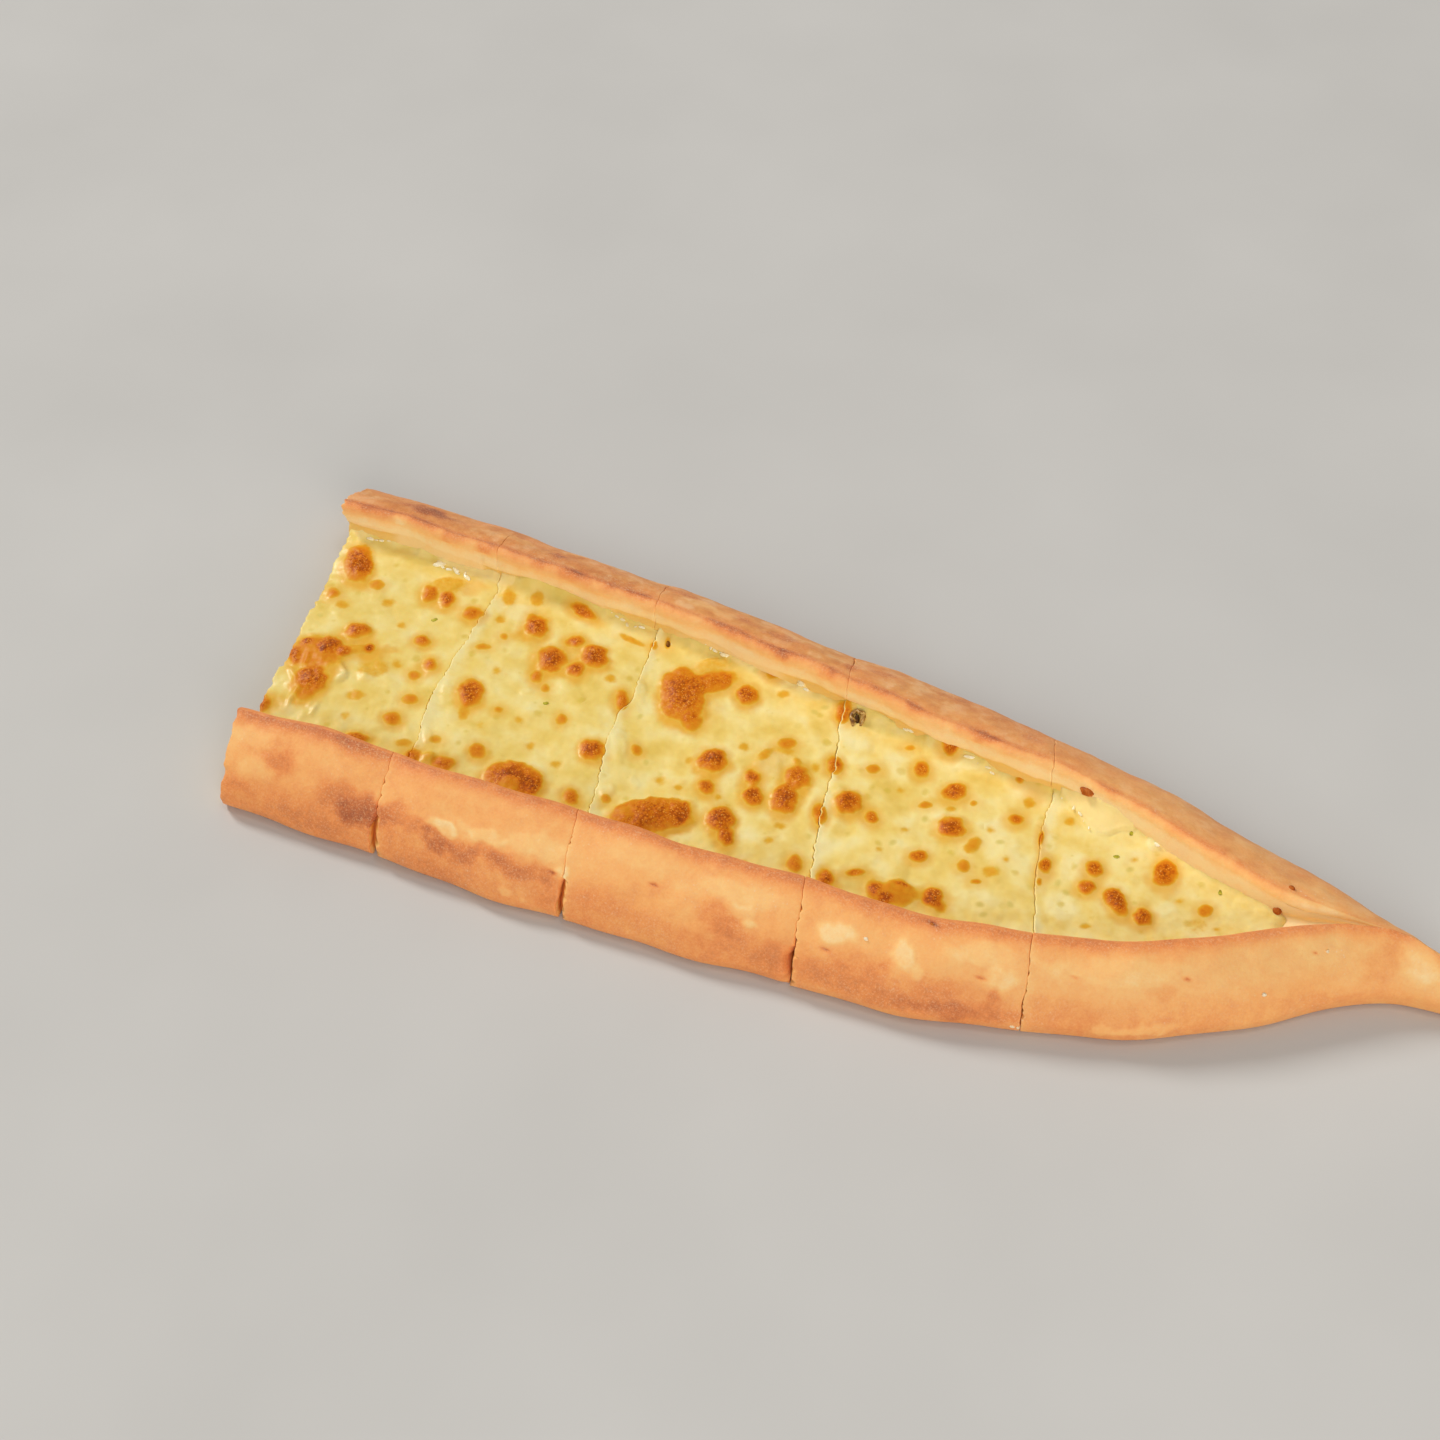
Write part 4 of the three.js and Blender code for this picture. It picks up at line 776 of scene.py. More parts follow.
BACK_GAP = [0.05, 0.02, 0.10, 0.26, 0.03]
FRONT_GAP = [0.6, 1.30, 1.05, 0.75, 0.10]
GAP_FOOT = [0.0, 0.0, 0.45, 0.75, 0.0]      # how far a cut closes again at the foot
GAP_SHARE = [0.2, 0.85, 0.75, 0.30, 0.5]    # part of a cut's width taken from the slice to its right


def gap_width(z, c):
    """Width of a cut: a hairline at the ridges that opens down the front slope, and a little down the back one."""
    j = np.arange(N_RING)[None, :]
    front = 0.05 + FRONT_GAP[c] * (0.22 * smooth((14.2 - z) / 5.0) + 1.58 * smooth((10.0 - z) / 2.0)) * (1 - GAP_FOOT[c] * smooth((2.4 - z) / 2.2))
    back = 0.02 + BACK_GAP[c] * smooth((15.8 - z) / 3.0)
    way = np.clip((j - N_SIDE) / N_FLAT, 0, 1)
    return np.where(j <= N_PATH, front * (1 - way) + back * way, 0.05)


def unit(v):
    return v / np.maximum(np.linalg.norm(v, axis=-1, keepdims=True), 1e-9)


def dough_slice(i, material):
    tip = i == 4
    if tip:
        straight = spread(CUT_X[4], TIP_X - NOSE, 0.50, True, False)
        turn = np.linspace(0, 1, 31)[1:] * math.radians(88.2)
        x0 = np.concatenate([straight, TIP_X - NOSE + NOSE * np.sin(turn)])
    else:
        x0 = spread(CUT_X[i], CUT_X[i + 1], 0.43, True, True)
    s, y, z = dough_rings(x0)
    rows = len(x0)
    u = ((x0 - x0[0]) / (x0[-1] - x0[0]))[:, None]
    from_start = (x0 - x0[0])[:, None]
    to_end = (x0[-1] - x0)[:, None]
    x = x0[:, None] + s["skew"][:, None] * y
    gaps = [gap_width(z, i), gap_width(z, min(i + 1, 4))]
    x = x + GAP_SHARE[i] * gaps[0] * (1 - u)
    if not tip:
        x = x - (1 - GAP_SHARE[i + 1]) * gaps[1] * u
    p = np.stack([x, y, z], -1)

    # distances along the skin from the two ridges
    j = np.arange(N_RING)
    step = np.linalg.norm(np.diff(p, axis=1, append=p[:, :1]), axis=-1)
    arc = np.concatenate([np.zeros((rows, 1)), np.cumsum(step, axis=1)], 1)
    out_f = arc[:, :-1]                                   # outside, from the front ridge
    out_b = arc[:, N_PATH:N_PATH + 1] - arc[:, :-1]       # outside, from the back ridge
    in_b = arc[:, :-1] - arc[:, N_PATH:N_PATH + 1]        # inside, from the back ridge
    in_f = arc[:, -1:] - arc[:, :-1]                      # inside, from the front ridge
    outside = (j <= N_PATH)[None, :]
    front = (j <= N_SIDE)[None, :] | (j >= N_RING - N_SIDE)[None, :]
    under = ((j > N_SIDE - 2) & (j < N_SIDE + N_FLAT + 2))[None, :]
    slope_f = (j <= N_SIDE)[None, :]
    slope_b = ((j >= N_SIDE + N_FLAT) & (j <= N_PATH))[None, :]

    n = unit(np.cross(np.roll(p, -1, 1) - np.roll(p, 1, 1), np.gradient(p, axis=0)))
    big = np.clip(s["scale"], 0.02, 1)[:, None]

    # --- how the skin swells and sinks
    lift = smooth(z / 3.0)
    skin = np.where(outside, 1.0, np.where(front, np.exp(-in_f / 2.0), np.exp(-in_b / 2.0)))
    skin = np.maximum(skin, 0.22) * lift
    d = skin * (0.42 * fbm(p, 17.0, 1, 2) + 0.16 * fbm(p, 5.5, 2, 2) + 0.05 * fbm(p, 1.9, 3, 2))
    # back rim: a rolled lip with a shallow groove behind it
    way = (1.0 - 0.70 * smooth((x + 10) / 60)) * np.clip(0.95 + 0.6 * curve(x[:, :1] * 1.0, 5, 13.0), 0.35, 1.4)
    swing = 0.75 * curve(x[:, :1] * 1.0, 6, 15.0) * (1.0 - 0.5 * smooth((x[:, :1] + 10) / 60))
    across = np.where(outside, -out_b, in_b) + swing       # from the outside, over the back ridge, to the inside
    hem = 5.3 + 0.8 * curve(x[:, :1] * 1.0, 7, 10.0) + 0.25 * curve(x[:, :1] * 1.0, 8, 3.0)    # lower edge of the lip
    hem = hem * (1.0 - 0.15 * smooth((x[:, :1] - 60) / 30))
    hang = 0.55 + 0.35 * curve(x[:, :1] * 1.0, 9, 9.0)
    spill = smooth((np.interp(x[:, :1] - CENTRE[0], FOOT[:, 0], FOOT[:, 1]) - 0.60) / 0.70)     # cheese runs up to the lip here
    roll = 0.48 * np.exp(-((across - 1.2) / np.where(across < 1.2, 1.35, 1.9)) ** 2) + hang * (1 - 0.5 * spill) * (1 - 0.5 * smooth((x[:, :1] - 55) / 15)) * bell(across - hem + 1.6, 1.5)
    roll = roll - 0.45 * (1 - spill) * (1 - smooth((x[:, :1] - 55) / 12)) * bell(across - hem - 1.0, 0.9)
    crease = -0.14 * bell(across + 1.5, 1.0) + 0.12 * bell(across + 4.6, 1.9)
    d = d + np.where(slope_b | (~outside & ~front), way * (roll + crease) * lift, 0.0)

    # --- browning
    warp = np.stack([fbm(p, 5.0, 71, 3), fbm(p, 5.0, 72, 3), fbm(p, 5.0, 73, 3)], -1)
    q = p - CENTRE + 1.9 * warp
    reach_f = np.maximum(arc[:, N_SIDE:N_SIDE + 1], 1.0)
    t_f = np.clip(out_f / reach_f, 0, 1)
    bake = np.full(p.shape[:2], 0.42)
    f = 0.38 + 0.24 * bell(out_f, 2.3) - 0.06 * bell(t_f - 0.35, 0.2) + 0.11 * smooth((t_f - 0.45) / 0.25) - 0.06 * smooth((t_f - 0.88) / 0.12)
    f = f - 0.06 * smooth((x - 40) / 40) - 0.04 * smooth((x - 100) / 30)
    # painted falloff of the light: a little browner towards the open end
    f = f + 0.05 * smooth((-45 - x) / 50)
    bake = np.where(slope_f, f, bake)
    crest = 0.14 * np.exp(-((across - 0.2) / np.where(across > 0.2, 1.7, 1.3)) ** 2) * np.clip(0.8 + 1.5 * fbm(p, 5.0, 75, 3), 0, 1.9) * (1 - 0.6 * smooth((x - 10) / 50))
    b = 0.46 + 0.10 * fbm(p, 15.0, 76, 2) * smooth((out_b - 5) / 4) + crest + 0.05 * smooth((out_b - 9) / 6) + 0.07 * smooth((-40 - x) / 40)
    b = b - 0.08 * smooth((x - 30) / 40)
    bake = np.where(slope_b, b, bake)
    in_back = 0.46 * (1 - np.clip(in_b / 4.7, 0, 1)) ** (1.35 + 0.5 * smooth(x / 30)) + crest
    in_back = in_back - 0.22 * smooth((x - 94) / 8)
    in_front = 0.56 - 0.38 * smooth((in_f - 0.6) / 3.0)
    bake = np.where(~outside & ~front, in_back, bake)
    bake = np.where(~outside & front, in_front, bake)
    bake = np.where(under, 0.60 + 0.10 * fbm(p, 9.0, 81, 3), bake)
    patch = np.zeros(p.shape[:2])
    raised = np.zeros(p.shape[:2])
    lo, hi = (p - CENTRE).reshape(-1, 3).min(0) - 22, (p - CENTRE).reshape(-1, 3).max(0) + 22
    for cx, cy, cz, ra, rc, amount in CRUST_PATCHES:
        if not lo[0] < cx < hi[0]:
            continue
        edge = FRONT_EDGE if cy < 8 else BACK_EDGE
        g = (along(edge, cx + 1.0) - along(edge, cx - 1.0)) / 2.0
        t = np.array([1.0, float(g), 0.0]) / math.hypot(1.0, float(g))
        if cy > 8 and amount > 0:
            rc, amount = 1.15 * rc, 1.2 * amount
        e = q - np.array([cx, cy, cz])
        al = e @ t
        ac = np.sqrt(np.maximum((e * e).sum(-1) - al * al, 0))
        r = np.sqrt((al / ra) ** 2 + (ac / rc) ** 2)
        w = 1 - smooth((r - 0.40) / 0.95) if amount > 0 else 1 - smooth((r - 0.60) / 0.60)
        patch += (0.58 if amount > 0 else 0.66) * amount * w
        if amount < -0.1:
            raised = np.maximum(raised, -amount * w)
    bake = bake + np.where(outside | (skin > 0.3), patch, 0.0)
    d = d + 0.55 * raised * skin
    dark = np.zeros(p.shape[:2])
    for cx, cy, cz, r, depth in CRUST_PITS:
        if not lo[0] < cx < hi[0]:
            continue
        e = p - CENTRE - np.array([cx, cy, cz])
        e = e + 0.5 * warp * r
        m = np.exp(-((e[..., 0] / (1.3 * r)) ** 2 + (e[..., 1] / (0.42 * r)) ** 2 + (e[..., 2] / (0.42 * r)) ** 2))
        d = d - depth * m
        dark = dark + m
    # painted shadow in the cracks and pits
    bake = bake + 0.42 * np.clip(dark, 0, 1)

    # --- cut edges: a small rounding, the dough draws down a little, the edge wanders
    for c, dist, sign, there in ((i, from_start, 1.0, True), (i + 1, to_end, -1.0, not tip)):
        if not there:
            continue
        gap = gaps[0] if sign > 0 else gaps[1]
        opened = smooth((gap - 0.05) / 0.6) * slope_f
        crisp = sign > 0 and c > 0
        mid_way = opened * (1.0 if c == 3 else smooth((z - 7.0) / 2.5))
        r = np.where(slope_b, 0.14, 0.10 if crisp else 0.30 + (2.2 if c == 3 else 1.2) * mid_way)
        k = np.clip((r - dist) / r, 0, 1)
        d = d - r * (1 - np.sqrt(1 - k * k * 0.999)) * np.where(z > 0.3, 1, 0)
        if crisp:
            d = d + 0.12 * opened * np.exp(-dist / 1.2)
        else:
            d = d - (0.16 + 0.40 * mid_way) * np.where(slope_b, 0.3, 1.0) * np.exp(-dist / 1.9) * skin
        ragged = dough_rag(c, y, z)
        if c > 0:
            teeth = fbm(np.stack([y * 0 + 5.0 * i, y, z], -1), 1.25 if crisp else 2.6, 45 + c, 2)
            if crisp:
                ragged = ragged + (0.85 + 0.85 * opened) * np.maximum(teeth, -0.1) * slope_f * smooth((16.0 - z) / 1.5)
            else:
                ragged = ragged + 0.25 * (gap - 0.05) * slope_f * teeth
        wander = ragged * np.exp(-(dist / 2.2) ** 2)
        p[..., 0] += wander
        # painted highlight along the cut edges, strongest on the crisp raised edge of the front slope
        bake = bake - np.where(slope_f, 0.13 if crisp else 0.02, 0.02) * np.exp(-dist / 0.7)
    p = p + n * (d * big)[..., None]
    p[..., 2] = np.maximum(p[..., 2], 0.0)
    flat = under & (z < 0.02)
    p[..., 2] = np.where(flat, np.maximum(0.0, 0.05 * fbm(p, 4.0, 91, 2)), p[..., 2])

    flour = np.where(outside, 0.35 + 0.5 * fbm(p, 12.0, 85, 2) + 0.15 * np.clip(patch, 0, 1), 0.12)
    flour = np.where(slope_b, flour + 0.15, flour)
    flour = np.where(slope_b | (~outside & ~front), np.maximum(flour, 0.40 * bell(across - 0.6, 2.4)), flour)
    flour = np.where(slope_f, np.maximum(flour, 0.42 * bell(out_f, 3.0)), flour)
    flour = np.where(under, 0.7 + 0.5 * fbm(p, 7.0, 86, 2), flour)
    over = p[..., 2] - CHEESE_TOP
    soak = (1 - smooth((over - 1.6 + 1.2 * fbm(p, 5.0, 87, 2)) / 3.2))
    # painted shadow under the overhanging back lip, together with fat soaked in there
    lip_shadow = smooth((across - hem + 0.2 * fbm(p, 2.0, 89, 2)) / 0.7) * (1 - 0.65 * spill) * (1 - smooth((x - 58) / 14))
    oil = np.where(outside, 0.0, np.where(front, 0.6 * soak, lip_shadow))
    tan = np.where(slope_b, smooth((out_b - 0.8) / 1.2) * np.clip(0.85 + 0.8 * fbm(p, 8.0, 88, 2), 0, 1) * (1 - 0.45 * smooth((x + 10) / 50)), 0.0)
    tan = tan * (1 - smooth(np.abs(dark) * 2)) * (1 - np.clip(3.5 * patch, 0, 0.85)) * (1 - np.clip(-2.0 * patch, 0, 0.5))

    verts = [p.reshape(-1, 3)]
    layers = {"bake": [bake.ravel()], "flour": [np.clip(flour, 0, 1).ravel()], "oil": [oil.ravel()], "crumb": [np.zeros(bake.size)], "tan": [tan.ravel()]}
    a = (np.arange(rows - 1)[:, None] * N_RING + j[None, :])
    b2 = (np.arange(rows - 1)[:, None] * N_RING + ((j + 1) % N_RING)[None, :])
    polys = [np.stack([a, b2, b2 + N_RING, a + N_RING], -1).reshape(-1, 4)]
    count = rows * N_RING

    def cap(row, sign):
        nonlocal count
        ring = p[row]
        t = np.arange(1, N_PATH)
        o, inn = ring[t], ring[N_RING - t]
        w = np.linspace(0, 1, CAP_STEPS + 1)[1:-1]
        mid = o[:, None, :] * (1 - w)[None, :, None] + inn[:, None, :] * w[None, :, None]
        thick = np.linalg.norm(o - inn, axis=-1)[:, None]
        rim_fade = smooth(np.minimum(w, 1 - w)[None, :] * thick / 1.2)
        open_end = i == 0 and row == 0
        pit = 0.75 * smooth((fbm(mid, 2.6, 95 + i, 2) - 0.02) / 0.4) + 0.35 * fbm(mid, 5.0, 96 + i, 2) + 0.18 * fbm(mid, 1.2, 97, 1)
        if not open_end:
            # the soft crumb inside a cut closes up again behind the crust
            depth = np.minimum(w, 1 - w)[None, :] * thick
            c = i if sign > 0 else i + 1
            shut = CUT_X[c] + s["skew"][row] * mid[..., 1] + dough_rag(c, mid[..., 1], mid[..., 2]) + sign * 0.012
            k = smooth((depth - 0.2) / 2.6)
            mid[..., 0] = mid[..., 0] * (1 - k) + shut * k
            pit = 0.08 * np.maximum(pit, 0)
        mid[..., 0] += sign * rim_fade * pit
        base = row * N_RING
        grid = np.empty((N_PATH - 1, CAP_STEPS + 1), np.int64)
        grid[:, 0] = base + t
        grid[:, -1] = base + N_RING - t
        grid[:, 1:-1] = count + np.arange((N_PATH - 1) * (CAP_STEPS - 1)).reshape(N_PATH - 1, CAP_STEPS - 1)
        quads = np.stack([grid[:-1, :-1], grid[:-1, 1:], grid[1:, 1:], grid[1:, :-1]], -1).reshape(-1, 4)
        first = np.concatenate([[base], grid[0, ::-1]])[None, :]
        last = np.concatenate([[base + N_PATH], grid[-1]])[None, :]
        if sign < 0:
            quads, first, last = quads[:, ::-1], first[:, ::-1], last[:, ::-1]
        polys.extend([quads, first, last])
        verts.append(mid.reshape(-1, 3))
        size = mid.shape[0] * mid.shape[1]
        layers["bake"].append(np.full(size, 0.25))
        layers["flour"].append(np.zeros(size))
        layers["tan"].append(np.zeros(size))
        # cut faces inside a closed cut take the deeper crumb colour: painted shading of the gap
        layers["oil"].append(np.full(size, 0.0 if open_end else 1.0))
        layers["crumb"].append(np.broadcast_to(smooth(np.minimum(w, 1 - w)[None, :] * thick / 0.3), mid.shape[:2]).ravel())
        count += size

    cap(0, 1.0)
    if tip:
        end = p[-1].mean(0)[None, :]
        verts.append(end)
        for key, value in (("bake", bake[-1].mean()), ("flour", 0.3), ("oil", 0.0), ("crumb", 0.0), ("tan", 0.0)):
            layers[key].append(np.array([value]))
        base = (rows - 1) * N_RING
        polys.append(np.stack([base + j, base + (j + 1) % N_RING, np.full(N_RING, count)], -1))
        count += 1
    else:
        cap(rows - 1, -1.0)
    layers = {k: np.concatenate(v) for k, v in layers.items()}
    return make_mesh("crust_slice_%d" % (i + 1), np.concatenate(verts), polys, layers, material)


# ====================================================================== cheese
CHEESE_SIDE = 7


def blister_fields(p):
    """Browning, golden glow and height of all the blisters at points p (working frame)."""
    q = (p - CENTRE)[..., :2]
    flat = np.concatenate([q, np.zeros(q.shape[:-1] + (1,))], -1)
    warp = np.stack([fbm(flat, 4.2, 101, 3), fbm(flat, 4.2, 102, 3)], -1)
    skin_left, heart_left, glow_left, kept = (np.ones(q.shape[:-1]) for _ in range(4))
    relief, hollow = np.zeros(q.shape[:-1]), np.zeros(q.shape[:-1])
    lo, hi = q.reshape(-1, 2).min(0) - 14, q.reshape(-1, 2).max(0) + 14
    for x, y, rx, ry, turn, core, halo, dome in BLISTERS:
        if not (lo[0] < x < hi[0]):
            continue
        e = q - np.array([x, y]) + 0.95 * min(1.0, ry / 2.4) * warp
        c, s = math.cos(math.radians(turn)), math.sin(math.radians(turn))
        r = np.sqrt(((e[..., 0] * c + e[..., 1] * s) / rx) ** 2 + ((e[..., 1] * c - e[..., 0] * s) / ry) ** 2)
        # distances in mm outside the border, so that small and large spots blur alike
        out = (r - 1.0) * math.sqrt(rx * ry)
        if core >= 0:
            edge = 0.60 if x < 5 else 0.40
            skin_left *= 1 - 0.42 * min(halo, 1.0) * smooth((edge - out) / 1.0 if core > 0.2 else (edge + 0.3 - out) / 2.1)
            heart_left *= 1 - min(core, 0.95) * smooth((1.08 - r) / 0.85)
        else:
            kept *= 1 + core * smooth((0.3 - out) / 1.2)
        e = e - 0.20 * math.sqrt(rx * ry) * np.array([0.25, -0.97])
        g = np.sqrt(((e[..., 0] * c + e[..., 1] * s) / rx) ** 2 + ((e[..., 1] * c - e[..., 0] * s) / ry) ** 2)
        g = (g - 1.0) * math.sqrt(rx * ry)
        glow_left *= 1 - 0.86 * min(halo, 1.0) * (1 - smooth((g - 0.1) / 2.7)) * (0.30 + 0.70 * min(1.0, 2 * max(core, 0)))
        hump = np.clip(1 - (r / 1.40) ** 2, 0, 1) ** 1.7
        if dome >= 0:
            relief += (1.10 * dome * hump) ** 3
        else:
            hollow += dome * hump
    for x, y, rx, ry, turn, strength in GLOWS:
        e = q - np.array([x, y]) + 1.2 * warp
        c, s = math.cos(math.radians(turn)), math.sin(math.radians(turn))
        r = np.sqrt(((e[..., 0] * c + e[..., 1] * s) / rx) ** 2 + ((e[..., 1] * c - e[..., 0] * s) / ry) ** 2)
        glow_left *= 1 - strength * (1 - smooth((r - 0.35) / 0.80))
    brown = (np.minimum(1 - skin_left, 0.48) + 0.37 * (1 - heart_left)) * kept
    return brown, 1 - glow_left, relief ** (1 / 3) + hollow


def swelling_fields(p):
    q = (p - CENTRE)[..., :2]
    flat = np.concatenate([q, np.zeros(q.shape[:-1] + (1,))], -1)
    warp = np.stack([fbm(flat, 5.0, 111, 2), fbm(flat, 5.0, 112, 2)], -1)
    pale_and_highlight, height = np.zeros(q.shape[:-1]), np.zeros(q.shape[:-1])
    for xa, ya, xb, yb, high in WRINKLES:
        e = q + 0.7 * warp
        d = np.array([xb - xa, yb - ya])
        k = np.clip(((e - np.array([xa, ya])) @ d) / (d @ d), 0, 1)
        m = np.exp(-(np.linalg.norm(e - np.array([xa, ya]) - k[..., None] * d, axis=-1) / 0.70) ** 2) * np.sqrt(np.sin(np.pi * (0.1 + 0.8 * k)))
        # painted highlight along the wrinkle
        pale_and_highlight = np.maximum(pale_and_highlight, 0.5 * m)
        height = height + high * m
    for x, y, rx, ry, turn, strength, dome in SWELLINGS:
        e = q - np.array([x, y]) + 1.2 * warp
        c, s = math.cos(math.radians(turn)), math.sin(math.radians(turn))
        r = np.sqrt(((e[..., 0] * c + e[..., 1] * s) / rx) ** 2 + ((e[..., 1] * c - e[..., 0] * s) / ry) ** 2)
        w = 1 - smooth((r - 0.45) / 0.65)
        pale_and_highlight = np.maximum(pale_and_highlight, strength * w)
        height = height + dome * w
    return pale_and_highlight, height


def shadow_and_olive_field(p):
    # painted shadows under the back lip, and the real olive flecks
    q = (p - CENTRE)[..., :2]
    total = np.zeros(q.shape[:-1])
    olive = [(x, y, 1.05, 0.75, 40 * k, 1.1) for k, (x, y, fresh) in enumerate(FLECKS) if fresh < 0.65]
    for x, y, rx, ry, turn, strength in list(LIP_SHADOWS) + olive:
        e = q - np.array([x, y])
        c, s = math.cos(math.radians(turn)), math.sin(math.radians(turn))
        r = np.sqrt(((e[..., 0] * c + e[..., 1] * s) / rx) ** 2 + ((e[..., 1] * c - e[..., 0] * s) / ry) ** 2)
        total = np.maximum(total, strength * (1 - smooth((r - 0.4) / 0.9)))
    return total


tops = []      # top surfaces of the cheese, to lay small things on


def cheese_slice(i, material):
    tip = i == 4
    end = CHEESE_END if tip else CUT_X[i + 1]
    x0 = spread(CUT_X[i], end, 0.36, True, not tip)
    rows = len(x0)
    s = frame_at(x0)
    col = lambda v: np.asarray(v)[:, None]
    # height at which it meets the back wall changes along the wall
    xb = x0 + s["skew"] * s["wB"][2]
    climb = np.interp(xb - CENTRE[0], CLIMB[:, 0], CLIMB[:, 1]) + 0.25 * curve(xb, 8, 4.0)
    climb = np.clip(climb, 0.10, 4.2) * (1 - smooth((x0 - 90) / 9))
    foot = np.interp(xb - CENTRE[0], FOOT[:, 0], FOOT[:, 1]) * (1 + 0.5 * curve(xb, 9, 5.0))
    ya = wall_y(s["wF"], CHEESE_TOP) - 0.55
    yb = wall_y(s["wB"], CHEESE_TOP + 0.6 * climb) + 0.55
    cols = int(round((yb - ya).max() / 0.37)) + 1
    v = np.linspace(0, 1, cols)[None, :]
    y = col(ya) + (col(yb) - col(ya)) * v
    to_f, to_b = y - col(ya), col(yb) - y
    from_start = np.broadcast_to(col(x0 - x0[0]), y.shape)
    to_end = np.broadcast_to(col(x0[-1] - x0), y.shape)
    u = col((x0 - x0[0]) / (x0[-1] - x0[0]))
    x = col(x0) + col(s["skew"]) * y
    # knife lines
    def line(c):
        return cut_drift(c, v) + 0.34 * curve(y, 120 + c, 5.0) + 0.46 * curve(y, 130 + c, 1.7) + 0.20 * curve(y, 135 + c, 0.9)
    half = 0.02 + (0.03 if i == 4 else 0.09) * np.clip(0.3 + 1.4 * curve(y, 140 + i, 7.0), 0, 1.5)
    half2 = np.full_like(y, 0.012)
    x = x + line(i) * np.exp(-(from_start / 3.2) ** 2) + half * (1 - u)
    if not tip:
        half2 = 0.02 + (0.03 if i == 3 else 0.09) * np.clip(0.3 + 1.4 * curve(y, 141 + i, 7.0), 0, 1.5)
        x = x + line(i + 1) * np.exp(-(to_end / 3.2) ** 2) - half2 * u
    p = np.stack([x, y, np.zeros_like(x)], -1)

    waves = wave(x + 0.4 * y, 31, 0.8) + 0.7 * wave(x - 0.7 * y, 23, 2.4) + 0.5 * wave(y + 0.2 * x, 17, 1.0)
    z = CHEESE_TOP + 0.15 * waves + 0.30 * fbm(p, 9.0, 11, 2) + 0.20 * fbm(p, 3.4, 12, 2) + 0.06 * fbm(p, 1.4, 13, 1)
    z = z + 0.55 * np.exp(-np.maximum(to_f - 0.4, 0) / 1.1)
    z = z + col(climb) * np.exp(-np.maximum(to_b - 0.4, 0) / col(0.6 + 0.5 * foot + 0.12 * climb))
    z = z + 0.30 * fbm(p, 2.6, 16, 2) * np.exp(-np.maximum(to_b - 0.8, 0) / 2.6) + 0.45 * np.exp(-np.maximum(to_b - 0.4, 0) / 1.3)
    brown, glow, relief = blister_fields(p)
    shadow_and_olive = shadow_and_olive_field(p)
    pale, swell = swelling_fields(p)
    z = z + relief + swell
    # painted falloff of the light: paler towards the tip
    pale = pale + 0.40 * smooth((x - 12) / 52)
    glow = glow * (1 - 0.20 * smooth((x - 6) / 8))
    # painted falloff of the light: darker and more olive towards the open end
    shadow_and_olive = np.maximum(shadow_and_olive, np.maximum(0.35 * smooth((-85 - x) / 40), 0.24 * smooth((-34 - x) / 12)))
    runs = smooth((col(foot) - 0.60) / 0.70)
    cream = 0.95 * smooth((col(foot) + 1.5 - to_b) / 1.6) * runs
    # painted shadow under the back lip, at the foot of the back wall, fading out near the tip
    shadow_and_olive = np.maximum(shadow_and_olive, (0.75 - 0.30 * smooth((-90 - x) / 10)) * (1 - runs) * np.exp(-np.maximum(to_b - 0.5, 0) / 0.9) * (1 - smooth((x - 84) / 8)))
    if tip:
        lx = x - CENTRE[0]
        edge = sum(np.interp(lx + k, LOBE[:, 0], LOBE[:, 1]) for k in (-1.6, -0.8, 0.0, 0.8, 1.6)) / 5 + 0.4 * curve(x, 115, 3.0)
        edge = edge + 9.0 * smooth((45.5 - lx) / 2.0) + 9.0 * smooth((lx - 62.5) / 2.5)
        inside = y - CENTRE[1] - edge
        z = z + np.where(inside > -0.6, 0.50 * smooth((inside + 0.6) / 1.4) + 0.28 * np.clip(inside, 0, 7), 0.0) + 0.34 * bell(inside - 0.2, 0.5)
        cream = np.maximum(cream, 0.90 * smooth((inside + 0.6) / 1.6))
        brown, glow = brown * (1 - smooth(inside / 0.6)), glow * (1 - smooth(inside / 0.6))
    z = z + smooth((brown - 0.2) / 0.4) * (0.20 * fbm(p, 1.5, 14, 2))
    # the knife pulls up one edge and presses down the other
    if i > 0:
        pull = np.clip(0.55 + 0.9 * curve(y, 150 + i, 8.0), 0, 1.3)
        z = z + 0.62 * pull * np.exp(-from_start / 1.5)
        # painted highlight on the edge the knife pulled up
        pale = np.maximum(pale, 1.15 * np.clip(0.35 + pull, 0, 1.2) * np.exp(-from_start / 2.6))
        if i in (2, 3):
            brown = brown * smooth((from_start - 0.05) / 0.4)
            glow = glow * smooth((from_start + 0.1) / 2.2)
    else:
        z = z - 0.5 * np.exp(-from_start / 2.5) * (1 + 0.8 * curve(y, 160, 5.0))
    if not tip:
        z = z - 0.14 * np.exp(-to_end / 1.4)
    for dist, r, there in ((from_start, 0.55 if i == 0 else 0.34, True), (to_end, 0.22, not tip)):
        if there:
            k = np.clip((r - dist) / r, 0, 1)
            z = z - 0.9 * r * (1 - np.sqrt(1 - 0.999 * k * k))
    if tip:
        z = z - 1.6 * smooth((col(x0) - (CHEESE_END - 5.0)) / 5.0)
    p[..., 2] = z
    oil = 0.25 * np.exp(-to_b / 2.6) + 0.40 * np.exp(-to_f / 2.4) + 0.30 * fbm(p, 14.0, 15, 2)
    oil = oil + 0.35 * np.exp(-to_end / 3.0) * (0.0 if tip else 1.0)
    tops.append(p.reshape(-1, 3))

